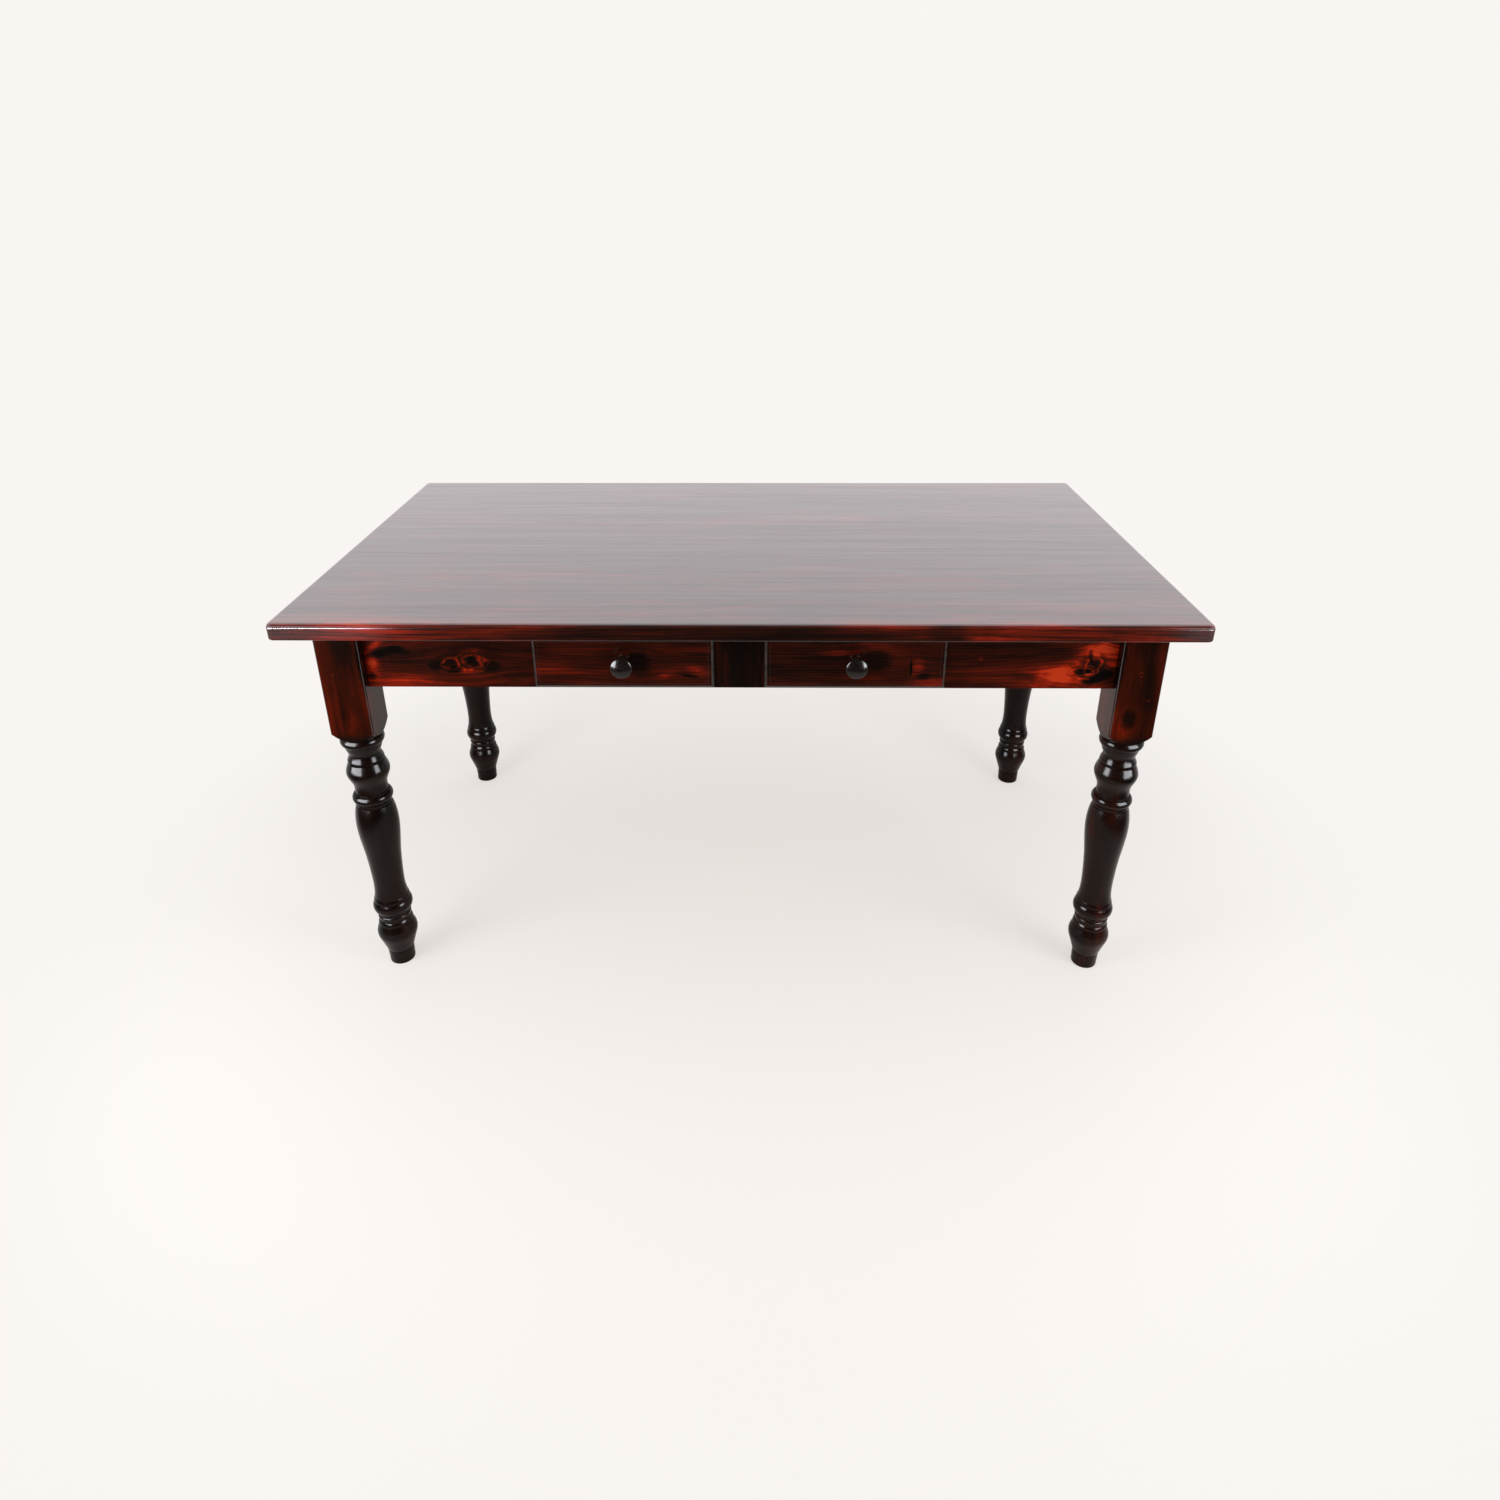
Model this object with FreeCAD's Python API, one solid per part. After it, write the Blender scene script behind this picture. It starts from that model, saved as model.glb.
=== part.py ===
import FreeCAD, Part
import math
import os

V = FreeCAD.Vector

# A dining table on four turned legs, with two lipped drawers in the front apron.
# X runs along the table, the drawers face -Y, Z is up, and the origin is on the floor
# under the middle of the top. All sizes are in millimetres.

# Whole table
table_length = 1524.0
table_width = 864.0
table_height = 762.0

# Top, glued up from boards that run the length of the table
top_thickness = 29.0
top_board_count = 6
top_end_overhang = 46.0
top_side_overhang = 56.0
top_corner_radius = 12.0
top_upper_round = 8.0
top_lower_round = 3.0
top_round_limit_share = 0.9

# Leg blank
leg_square = 76.0
leg_block_length = 202.0
leg_arris_round = 4.5
leg_bolt_flat = 14.0
leg_bolt_flat_rise = 8.0

# Leg turning, from the floor up
foot_height = 29.0
foot_radius = 23.8
foot_top_radius = 24.6
foot_edge_round = 2.5
quirk_width = 2.0
quirk_depth = 1.3
ankle_ball_height = 62.0
ankle_ball_radius = 37.5
ankle_bead_height = 9.0
ankle_bead_radius = 31.8
ankle_neck_height = 7.5
ankle_neck_radius = 28.9
ankle_neck_edge_radius = 29.5
ankle_ring_height = 5.0
ankle_ring_radius = 30.9
lower_bead_height = 23.0
lower_bead_radius = 36.5
lower_bead_low_radius = 32.0
lower_bead_top_radius = 33.4
shaft_bead_height = 9.0
shaft_bead_radius = 32.7
vase_radius = 38.0

# Leg turning, from the block down
shoulder_height = 18.0
shoulder_bulge = 1.2
collar_neck_height = 2.5
collar_neck_radius = 34.6
collar_height = 16.5
collar_radius = 38.3
cove_height = 27.0
cove_edge_radius = 33.9
ball_ring_height = 8.5
ball_ring_radius = 31.6
ball_height = 63.0
ball_radius = 38.0
ring_cap_height = 3.5
ring_cap_radius = 30.8
ring_height = 15.0
ring_radius = 35.8
ring_edge_radius = 32.6
ring_foot_height = 5.5
ring_foot_radius = 32.2

# Swelling curves of the turning: share of the height, then share of the full radius
ankle_ball_shares = [
    (0.0, 0.667), (0.18, 0.765), (0.37, 0.866), (0.56, 0.970),
    (0.68, 1.0), (0.78, 0.985), (0.89, 0.930), (1.0, 0.860),
]
vase_shares = [
    (0.0, 0.816), (0.055, 0.768), (0.14, 0.745), (0.28, 0.767), (0.45, 0.828),
    (0.62, 0.932), (0.78, 1.0), (0.89, 0.975), (0.95, 0.925), (1.0, 0.853),
]
ball_shares = [
    (0.0, 0.772), (0.13, 0.758), (0.26, 0.772), (0.39, 0.838), (0.52, 0.934),
    (0.61, 0.985), (0.70, 1.0), (0.80, 0.970), (0.90, 0.912), (1.0, 0.842),
]
cove_shares = [
    (0.0, 0.880), (0.14, 0.835), (0.28, 0.814), (0.42, 0.842), (0.56, 0.890),
    (0.78, 0.950), (1.0, 1.0),
]

# Aprons
apron_height = 120.0
apron_thickness = 22.0
apron_setback = 20.0

# Front frame around the drawers
opening_width = 289.0
stile_width = 105.0
upper_rail_height = 30.0
lower_rail_height = 13.0
lower_rail_depth = 45.0
rail_tenon_length = 12.0
rail_tenon_thickness = 8.0
rail_tenon_shoulder = 2.5

# Drawers
drawer_travel = 300.0
drawer_depth = 400.0
drawer_side_play = 1.5
drawer_top_play = 1.7
drawer_float = 0.3
front_seat_gap = 0.3
lip_side = 9.5
lip_top = 8.5
lip_bottom = 10.5
lip_thickness = 7.5
lip_round = 6.0
field_inset = 9.0
field_rise = 1.5
field_arris_round = 0.5
tongue_thickness = 11.0
side_thickness = 12.0
back_thickness = 12.0
bottom_thickness = 6.0
bottom_rise = 8.0
bottom_groove_depth = 6.0
bottom_play = 0.25
front_tail_length = 9.0
front_tail_count = 3
back_tail_count = 2
tail_width_share = 0.52
tail_slope_share = 0.17

# Knobs
knob_radius = 18.5
knob_lift = 2.5
knob_base_radius = 9.5
knob_base_height = 1.5
knob_neck_radius = 6.8
knob_neck_rise = 8.5
knob_cup_radius = 16.4
knob_cup_rise = 21.0
knob_rim_rise = 3.4
knob_crown_radius = 17.0
knob_crown_rise = 6.0
knob_dome_rise = 4.5

# Runners, kickers and stops
runner_support_width = 24.0
guide_width = 12.0
guide_height = 40.0
housing_depth = 6.0
kicker_width = 40.0
kicker_length = 400.0
stop_length = 20.0
stop_width = 24.0
stop_height = 14.0
stop_gap = 0.3

# Corner blocks and the buttons that hold the top
block_thickness = 30.0
block_gap = 5.0
block_rise = 15.0
block_drop = 8.0
button_length = 38.0
button_width = 25.0
button_height = 19.5
button_gap = 1.5
button_tongue_length = 8.5
button_tongue_height = 7.0
slot_play = 0.5
end_button_share = 0.868
side_button_share = 0.583

# Fasteners
bolt_radius = 4.0
bolt_leg_grip = 45.0
bolt_tail = 8.0
bolt_tip_length = 6.0
washer_radius = 12.0
washer_thickness = 2.0
nut_across_flats = 13.0
nut_height = 6.5
screw_radius = 2.1
screw_head_radius = 4.2
screw_head_height = 2.8
screw_slot_width = 1.1
screw_slot_depth = 1.2
screw_tip_length = 5.0
button_screw_length = 35.0
kicker_screw_length = 45.0
kicker_screw_inset = 110.0
stop_screw_length = 26.0
corner_screw_length = 26.0
corner_screw_seat = 12.0
corner_screw_inset = 20.0
corner_screw_edge = 22.0
pin_radius = 1.3
pin_head_radius = 2.6
pin_head_height = 1.7
pin_length = 18.0
pin_count = 3
knob_screw_radius = 2.0
knob_screw_head_radius = 4.0
knob_screw_head_height = 2.4
knob_screw_grip = 12.0
hole_play = 0.15
overrun = 2.0
match_tolerance = 0.05

# Places that follow from the sizes above
half_length = table_length / 2
half_width = table_width / 2
top_low = table_height - top_thickness
leg_outer_x = half_length - top_end_overhang
leg_outer_y = half_width - top_side_overhang
leg_inner_x = leg_outer_x - leg_square
leg_inner_y = leg_outer_y - leg_square
leg_centre_x = leg_outer_x - leg_square / 2
leg_centre_y = leg_outer_y - leg_square / 2
block_low = top_low - leg_block_length
apron_low = top_low - apron_height
apron_face_x = leg_outer_x - apron_setback
apron_face_y = leg_outer_y - apron_setback
apron_inner_x = apron_face_x - apron_thickness
apron_inner_y = apron_face_y - apron_thickness
opening_low = apron_low + lower_rail_height
opening_high = top_low - upper_rail_height
opening_near = stile_width / 2
opening_far = opening_near + opening_width
drawer_centre_x = (opening_near + opening_far) / 2
lip_back_y = -apron_face_y - front_seat_gap
lip_face_y = lip_back_y - lip_thickness
field_face_y = lip_face_y - field_rise
tongue_back_y = lip_back_y + tongue_thickness
drawer_rear_y = tongue_back_y + drawer_depth
drawer_back_y = drawer_rear_y - back_thickness
drawer_low = opening_low + drawer_float
drawer_high = opening_high - drawer_top_play
drawer_half = opening_width / 2 - drawer_side_play
bottom_low = drawer_low + bottom_rise
bottom_high = bottom_low + bottom_thickness
lip_low = opening_low - lip_bottom
lip_high = opening_high + lip_top
knob_z = (lip_low + lip_high) / 2 + knob_lift
block_bottom = apron_low + block_rise
block_top = top_low - block_drop
bolt_z = (block_bottom + block_top) / 2
SIDES = (("left", -1), ("right", 1))
ENDS = (("front", -1), ("back", 1))

# X plus Y of the upright faces that cross a corner at 45 degrees: the flat on the leg
# that its bolt pulls against, then the outer and the inner face of the corner block
bolt_flat_sum = leg_inner_x + leg_inner_y + leg_bolt_flat
block_outer_sum = bolt_flat_sum - block_gap * math.sqrt(2)
block_inner_sum = block_outer_sum - block_thickness * math.sqrt(2)

# Buttons: on the long aprons between the rails' tenons and the corner blocks, and on the
# short ones between the middle and the corner blocks
side_button_inner = opening_far + rail_tenon_length
side_button_room = block_inner_sum - apron_inner_y - side_button_inner
side_button_offset = side_button_inner + side_button_room * side_button_share
end_button_offset = (block_inner_sum - apron_inner_x) * end_button_share


def box(x0, x1, y0, y1, z0, z1):
    """A box between two corners, given in either order along each axis."""
    low = V(min(x0, x1), min(y0, y1), min(z0, z1))
    return Part.makeBox(abs(x1 - x0), abs(y1 - y0), abs(z1 - z0), low)


def prism(points, direction):
    """A straight prism on a closed outline."""
    wire = Part.makePolygon(list(points) + [points[0]])
    return Part.Face(wire).extrude(direction)


def turned(edges, axis_point, axis):
    """A solid of revolution on an outline that closes along its axis."""
    return Part.Face(Part.Wire(edges)).revolve(axis_point, axis, 360)


def upright_edges(shape):
    """The straight edges of a shape that run along Z."""
    found = []
    for edge in shape.Edges:
        run = edge.Vertexes[-1].Point.sub(edge.Vertexes[0].Point)
        if isinstance(edge.Curve, Part.Line) and abs(run.z) > abs(run.x) + abs(run.y):
            found.append(edge)
    return found


def rim_edges(shape, level, axis):
    """The edges that lie wholly in the plane at a level along an axis index."""
    found = []
    for edge in shape.Edges:
        bounds = edge.BoundBox
        low = (bounds.XMin, bounds.YMin, bounds.ZMin)[axis]
        high = (bounds.XMax, bounds.YMax, bounds.ZMax)[axis]
        if abs(low - level) + abs(high - level) < match_tolerance:
            found.append(edge)
    return found


def placed(shape, point, direction):
    """A copy of a shape drawn up the Z axis, set at a point and turned to a direction."""
    copy = shape.copy()
    turn = FreeCAD.Rotation(V(0, 0, 1), V(*direction))
    copy.Placement = FreeCAD.Placement(V(*point), turn)
    return copy


def quadrant(shape, side_x, side_y):
    """A copy of a shape drawn in the +X +Y quarter, mirrored into another quarter."""
    if side_x < 0:
        shape = shape.mirror(V(0, 0, 0), V(1, 0, 0))
    if side_y < 0:
        shape = shape.mirror(V(0, 0, 0), V(0, 1, 0))
    return shape


class Outline:
    """The half outline of a turning, drawn upwards from a start radius and height."""

    def __init__(self, radius, height):
        self.edges = []
        self.radius = radius
        self.height = height

    def point(self):
        return V(self.radius, 0, self.height)

    def to(self, radius, rise):
        """A straight stretch to a radius, rising by a height."""
        start = self.point()
        self.radius = radius
        self.height += rise
        self.edges.append(Part.LineSegment(start, self.point()).toShape())

    def arc(self, middle_radius, radius, rise, middle_share=0.5):
        """One round stretch that passes through a middle radius part of the way up."""
        start = self.point()
        middle = V(middle_radius, 0, self.height + rise * middle_share)
        self.radius = radius
        self.height += rise
        self.edges.append(Part.Arc(start, middle, self.point()).toShape())

    def dome(self, rise):
        """A part of a sphere that closes on the axis."""
        sphere = (self.radius ** 2 + rise ** 2) / (2 * rise)
        half_turn = math.asin(self.radius / sphere) / 2
        middle_rise = rise - sphere * (1 - math.cos(half_turn))
        self.arc(sphere * math.sin(half_turn), 0, rise, middle_rise / rise)

    def swell(self, shares, radius, rise):
        """A smooth curve through shares of a height and of a full radius."""
        self.step(shares[0][1] * radius)
        points = [V(share * radius, 0, self.height + rise * level) for level, share in shares]
        curve = Part.BSplineCurve()
        curve.interpolate(points)
        self.edges.append(curve.toShape())
        self.radius = points[-1].x
        self.height = points[-1].z

    def step(self, radius):
        """A flat step in or out to a radius."""
        if abs(radius - self.radius) > match_tolerance:
            self.to(radius, 0)

    def quirk(self):
        """A fine square groove between two members."""
        outer = self.radius
        self.to(outer - quirk_depth, 0)
        self.to(outer - quirk_depth, quirk_width)
        self.to(outer, 0)


def lower_turning(line):
    """The foot, the ball above it and the double bead under the shaft."""
    line.to(foot_radius - foot_edge_round, 0)
    bend = foot_edge_round * (1 - math.sqrt(0.5))
    line.arc(foot_radius - bend, foot_radius, foot_edge_round, bend / foot_edge_round)
    line.to(foot_top_radius, foot_height - foot_edge_round)
    line.quirk()
    line.swell(ankle_ball_shares, ankle_ball_radius, ankle_ball_height)
    line.quirk()
    line.arc(ankle_bead_radius, ankle_neck_edge_radius, ankle_bead_height)
    line.arc(ankle_neck_radius, ankle_neck_edge_radius, ankle_neck_height)
    line.arc(ankle_ring_radius, ankle_neck_edge_radius, ankle_ring_height)
    line.arc(ankle_neck_radius, ankle_neck_edge_radius, ankle_neck_height)
    line.step(lower_bead_low_radius)
    line.arc(lower_bead_radius, lower_bead_top_radius, lower_bead_height)
    line.quirk()
    line.arc(shaft_bead_radius, vase_shares[0][1] * vase_radius, shaft_bead_height)


def upper_turning(line):
    """The ring, ball, cove and collar between the vase and the square block."""
    line.quirk()
    line.step(ring_foot_radius)
    line.to(ring_foot_radius, ring_foot_height)
    line.quirk()
    line.step(ring_edge_radius)
    line.arc(ring_radius, ring_edge_radius, ring_height)
    line.step(ring_cap_radius)
    line.to(ring_cap_radius, ring_cap_height)
    line.swell(ball_shares, ball_radius, ball_height)
    line.quirk()
    line.arc(ball_ring_radius, cove_shares[0][1] * cove_edge_radius, ball_ring_height)
    line.swell(cove_shares, cove_edge_radius, cove_height)
    line.step(collar_neck_radius)
    line.arc(collar_radius, collar_neck_radius, collar_height)
    line.to(collar_neck_radius, collar_neck_height)


def upper_turning_height():
    """The height of the members between the vase and the block's shoulder."""
    line = Outline(vase_shares[-1][1] * vase_radius, 0)
    upper_turning(line)
    return line.height


def turned_stem():
    """The turned part of a leg at the origin; the vase takes the height that is left."""
    line = Outline(0, 0)
    lower_turning(line)
    upper = upper_turning_height()
    vase_height = block_low - shoulder_height - upper - line.height
    line.swell(vase_shares, vase_radius, vase_height)
    upper_turning(line)
    line.to(0, 0)
    line.to(0, -line.height)
    return turned(line.edges, V(0, 0, 0), V(0, 0, 1))


def leg_block():
    """The square part of a leg, its lower corners rounded off by the lathe."""
    start = block_low - shoulder_height
    half = leg_square / 2
    square = box(-half, half, -half, half, start, top_low)
    square = square.makeFillet(leg_arris_round, upright_edges(square))
    reach = half * math.sqrt(2)
    line = Outline(0, start)
    line.to(half, 0)
    middle = (half + reach) / 2 + shoulder_bulge
    line.arc(middle, reach, shoulder_height)
    line.to(reach, leg_block_length)
    line.to(0, 0)
    line.to(0, start - line.height)
    return square.common(turned(line.edges, V(0, 0, 0), V(0, 0, 1)))


def leg():
    """One leg in the +X +Y corner, with its bolt flat and bolt hole."""
    blank = turned_stem().fuse(leg_block()).removeSplitter()
    blank.translate(V(leg_centre_x, leg_centre_y, 0))
    corner = [
        V(leg_inner_x - overrun, leg_inner_y - overrun, 0),
        V(leg_inner_x + leg_bolt_flat + overrun, leg_inner_y - overrun, 0),
        V(leg_inner_x - overrun, leg_inner_y + leg_bolt_flat + overrun, 0),
    ]
    for point in corner:
        point.z = apron_low + leg_bolt_flat_rise
    blank = blank.cut(prism(corner, V(0, 0, apron_height)))
    return blank.cut(corner_bolt(hole_play))


def diagonal_point(total, level):
    """A point on the corner's diagonal through the leg's centre, by its X plus Y."""
    difference = leg_centre_x - leg_centre_y
    return V((total + difference) / 2, (total - difference) / 2, level)


def corner_bolt(play):
    """A hanger bolt from inside the leg to its tail behind the nut, grown by a play."""
    stack = block_gap + block_thickness + washer_thickness + nut_height + bolt_tail
    radius = bolt_radius + play
    body = Part.makeCylinder(radius, bolt_leg_grip + stack - bolt_tip_length)
    tip = Part.makeCone(radius, radius / 2, bolt_tip_length)
    tip = placed(tip, (0, 0, body.BoundBox.ZMax), (0, 0, 1))
    bolt = body.fuse(tip).removeSplitter()
    tail = diagonal_point(block_inner_sum, bolt_z)
    back = (washer_thickness + nut_height + bolt_tail) / math.sqrt(2)
    tail = tail.sub(V(back, back, 0))
    return placed(bolt, (tail.x, tail.y, tail.z), (1, 1, 0))


def washer():
    """The washer between a corner block and its nut."""
    ring = Part.makeCylinder(washer_radius, washer_thickness)
    ring = ring.cut(Part.makeCylinder(bolt_radius + hole_play, washer_thickness))
    seat = diagonal_point(block_inner_sum, bolt_z)
    return placed(ring, (seat.x, seat.y, seat.z), (-1, -1, 0))


def nut():
    """The hexagon nut on a corner bolt, its outer corners turned off."""
    reach = nut_across_flats / math.sqrt(3)
    corners = [
        V(reach * math.cos(math.radians(60 * k)), reach * math.sin(math.radians(60 * k)), 0)
        for k in range(6)
    ]
    body = prism(corners, V(0, 0, nut_height))
    steep = math.tan(math.radians(60))
    crown = Part.makeCone(nut_across_flats / 2 + nut_height * steep, nut_across_flats / 2,
                          nut_height)
    body = body.common(crown)
    body = body.cut(Part.makeCylinder(bolt_radius + hole_play, nut_height))
    seat = diagonal_point(block_inner_sum, bolt_z)
    out = washer_thickness / math.sqrt(2)
    return placed(body, (seat.x - out, seat.y - out, seat.z), (-1, -1, 0))


def screw(length, play=0.0, radius=screw_radius, head=screw_head_radius,
          head_height=screw_head_height):
    """A countersunk screw drawn up the Z axis from its head, or the hole for it."""
    cone = Part.makeCone(head + play, radius + play, head_height)
    shank_length = length - head_height - screw_tip_length
    shank = Part.makeCylinder(radius + play, shank_length, V(0, 0, head_height))
    tip = Part.makeCone(radius + play, radius / 2, screw_tip_length,
                        V(0, 0, length - screw_tip_length))
    body = cone.fuse([shank, tip]).removeSplitter()
    if play:
        return body
    slot = box(-head, head, -screw_slot_width / 2, screw_slot_width / 2, 0, screw_slot_depth)
    return body.cut(slot)


def corner_screw_places():
    """Where the four screws of the +X +Y corner block go, and which way."""
    levels = (block_bottom + corner_screw_edge, block_top - corner_screw_edge)
    along_x = block_inner_sum - apron_inner_y + corner_screw_inset
    along_y = block_inner_sum - apron_inner_x + corner_screw_inset
    places = []
    for level in levels:
        places.append(((along_x, apron_inner_y - corner_screw_seat, level), (0, 1, 0)))
        places.append(((apron_inner_x - corner_screw_seat, along_y, level), (1, 0, 0)))
    return places


def corner_screws(play=0.0):
    """The four screws of the +X +Y corner block."""
    return [placed(screw(corner_screw_length, play), point, way)
            for point, way in corner_screw_places()]


def corner_block():
    """A glued and screwed block across the +X +Y corner of the frame."""
    outline = [
        V(block_outer_sum - apron_inner_y, apron_inner_y, block_bottom),
        V(block_inner_sum - apron_inner_y, apron_inner_y, block_bottom),
        V(apron_inner_x, block_inner_sum - apron_inner_x, block_bottom),
        V(apron_inner_x, block_outer_sum - apron_inner_x, block_bottom),
    ]
    block = prism(outline, V(0, 0, block_top - block_bottom))
    pocket = Part.makeCylinder(screw_head_radius + slot_play, block_thickness)
    for point, way in corner_screw_places():
        back = (-way[0], -way[1], -way[2])
        block = block.cut(placed(pocket, point, back))
    for hole in corner_screws(hole_play):
        block = block.cut(hole)
    return block.cut(corner_bolt(hole_play))


def top_slab():
    """The whole top, with rounded corners and edges, before it is parted into boards."""
    slab = box(-half_length, half_length, -half_width, half_width, top_low, table_height)
    slab = slab.makeFillet(top_corner_radius, upright_edges(slab))
    largest = top_corner_radius * top_round_limit_share
    slab = slab.makeFillet(min(top_upper_round, largest), rim_edges(slab, table_height, 2))
    return slab.makeFillet(min(top_lower_round, largest), rim_edges(slab, top_low, 2))


def top_boards():
    """The boards of the top, from the front edge to the back edge."""
    slab = top_slab()
    width = table_width / top_board_count
    boards = []
    for number in range(top_board_count):
        start = -half_width + number * width
        piece = box(-table_length, table_length, start, start + width, 0, table_height)
        boards.append(slab.common(piece))
    return boards


def tenon(x0, x1, low, high):
    """A rail's tenon, centred in the thickness of the front frame."""
    middle = -(apron_face_y + apron_inner_y) / 2
    half = rail_tenon_thickness / 2
    return box(x0, x1, middle - half, middle + half,
               low + rail_tenon_shoulder, high - rail_tenon_shoulder)


def rail(low, high, depth):
    """A right-hand rail across a drawer opening, with a tenon at each end."""
    body = box(opening_near, opening_far, -apron_face_y, -apron_face_y + depth, low, high)
    near = tenon(opening_near - rail_tenon_length, opening_near, low, high)
    far = tenon(opening_far, opening_far + rail_tenon_length, low, high)
    return body.fuse([near, far]).removeSplitter()


def runner(guide_sign):
    """A runner of the right-hand drawer, an L in section, let into front and back."""
    edge = drawer_centre_x + guide_sign * opening_width / 2
    outside = edge + guide_sign * guide_width
    inside = edge - guide_sign * runner_support_width
    reach = apron_inner_y + housing_depth
    rail_back = -apron_face_y + lower_rail_depth
    support = box(inside, outside, rail_back, reach, apron_low, opening_low)
    guide = box(edge, outside, -reach, reach, apron_low, apron_low + guide_height)
    return support.fuse(guide).removeSplitter()


def kicker():
    """The strip above the right-hand drawer that keeps it level as it is pulled out."""
    half = kicker_width / 2
    return box(drawer_centre_x - half, drawer_centre_x + half, -apron_inner_y,
               -apron_inner_y + kicker_length, opening_high, top_low)


def stop_front():
    """Y of the stop's rear face, which the drawer's back meets at the end of its travel."""
    return drawer_back_y - drawer_travel - stop_gap


def stop():
    """The block under the right-hand kicker that stops the drawer."""
    half = stop_width / 2
    return box(drawer_centre_x - half, drawer_centre_x + half,
               stop_front() - stop_length, stop_front(), opening_high - stop_height,
               opening_high)


def kicker_screws(play=0.0):
    """The two screws that hold the right-hand kicker up to the top."""
    places = (-apron_inner_y + kicker_screw_inset,
              -apron_inner_y + kicker_length - kicker_screw_inset)
    return [placed(screw(kicker_screw_length, play), (drawer_centre_x, y, opening_high),
                   (0, 0, 1)) for y in places]


def stop_screw(play=0.0):
    """The screw that holds the right-hand stop to its kicker."""
    middle = stop_front() - stop_length / 2
    level = opening_high - stop_height
    return placed(screw(stop_screw_length, play), (drawer_centre_x, middle, level), (0, 0, 1))


def button_places():
    """Each button's point on an apron's inner face, and its direction to the apron."""
    places = []
    for name, side in SIDES:
        for end, face in ENDS:
            places.append((V(side * side_button_offset, face * apron_inner_y, 0), (0, face)))
            places.append((V(side * apron_inner_x, face * end_button_offset, 0), (side, 0)))
    return places


def button_shape(play):
    """A button drawn along +Y with the apron's inner face at y = 0, or its slot."""
    half = button_width / 2
    low = top_low - button_height
    tongue = box(-half - play, half + play, -button_gap, button_tongue_length + play,
                 low - play, low + button_tongue_height + play)
    if play:
        return tongue
    body = box(-half, half, -button_gap - button_length, -button_gap, low, top_low)
    return body.fuse(tongue).removeSplitter()


def buttons(play=0.0):
    """All the buttons, or the slots for their tongues."""
    shapes = []
    for point, way in button_places():
        shape = button_shape(play)
        angle = math.degrees(math.atan2(-way[0], way[1]))
        shape.rotate(V(0, 0, 0), V(0, 0, 1), angle)
        shape.translate(point)
        shapes.append(shape)
    return shapes


def button_screws(play=0.0):
    """The screw through the middle of each button into the top."""
    back = button_gap + button_length / 2
    low = top_low - button_height
    return [placed(screw(button_screw_length, play),
                   (point.x - way[0] * back, point.y - way[1] * back, low), (0, 0, 1))
            for point, way in button_places()]


def tail_shapes(start_y, length, low, high, count):
    """Dovetails at an end of the right-hand side board, flaring away from its body."""
    pitch = (high - low) / count
    half = pitch * tail_width_share / 2
    flare = half + abs(length) * tail_slope_share
    inner = drawer_half - side_thickness
    tails = []
    for number in range(count):
        middle = low + pitch * (number + 0.5)
        outline = [
            V(inner, start_y, middle - half),
            V(inner, start_y, middle + half),
            V(inner, start_y + length, middle + flare),
            V(inner, start_y + length, middle - flare),
        ]
        tails.append(prism(outline, V(side_thickness, 0, 0)))
    return tails


def front_tails():
    """The tails of the right-hand side board in the drawer front."""
    return tail_shapes(tongue_back_y, -front_tail_length, drawer_low, drawer_high,
                       front_tail_count)


def back_tails():
    """The tails of the right-hand side board in the drawer back."""
    return tail_shapes(drawer_back_y, back_thickness, bottom_high, drawer_high,
                       back_tail_count)


def both_sides(shapes):
    """The shapes and their mirror images in the drawer's middle plane."""
    return shapes + [shape.mirror(V(0, 0, 0), V(1, 0, 0)) for shape in shapes]


def drawer_bottom(play=0.0):
    """The drawer's bottom panel about x = 0, or the grooves for it."""
    half = drawer_half - side_thickness + bottom_groove_depth - bottom_play
    front_edge = tongue_back_y - bottom_groove_depth + bottom_play
    return box(-half - play, half + play, front_edge - play, drawer_rear_y + play,
               bottom_low - play, bottom_high + play)


def drawer_front():
    """The lipped front about x = 0, moulded round its edge, with sockets for the tails."""
    half = opening_width / 2 + lip_side
    lip = box(-half, half, lip_back_y, lip_face_y, lip_low, lip_high)
    lip = lip.makeFillet(lip_round, rim_edges(lip, lip_face_y, 1))
    field = box(-half + field_inset, half - field_inset, lip_face_y, field_face_y,
                lip_low + field_inset, lip_high - field_inset)
    field = field.makeFillet(field_arris_round, rim_edges(field, field_face_y, 1))
    tongue = box(-drawer_half, drawer_half, lip_back_y, tongue_back_y, drawer_low,
                 drawer_high)
    front = lip.fuse([field, tongue]).removeSplitter()
    for tail in both_sides(front_tails()):
        front = front.cut(tail)
    front = front.cut(drawer_bottom(bottom_play))
    return front.cut(knob_screw(hole_play))


def drawer_side():
    """The right-hand side board about x = 0, dovetailed to the front and the back."""
    inner = drawer_half - side_thickness
    board = box(inner, drawer_half, tongue_back_y, drawer_back_y, drawer_low, drawer_high)
    strip = box(inner, drawer_half, drawer_back_y, drawer_rear_y, drawer_low, bottom_high)
    board = board.fuse([strip] + front_tails() + back_tails()).removeSplitter()
    return board.cut(drawer_bottom(bottom_play))


def drawer_back():
    """The back board about x = 0, standing on the bottom panel."""
    board = box(-drawer_half, drawer_half, drawer_back_y, drawer_rear_y, bottom_high,
                drawer_high)
    for tail in both_sides(back_tails()):
        board = board.cut(tail)
    for hole in bottom_pins(hole_play):
        board = board.cut(hole)
    return board


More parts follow.
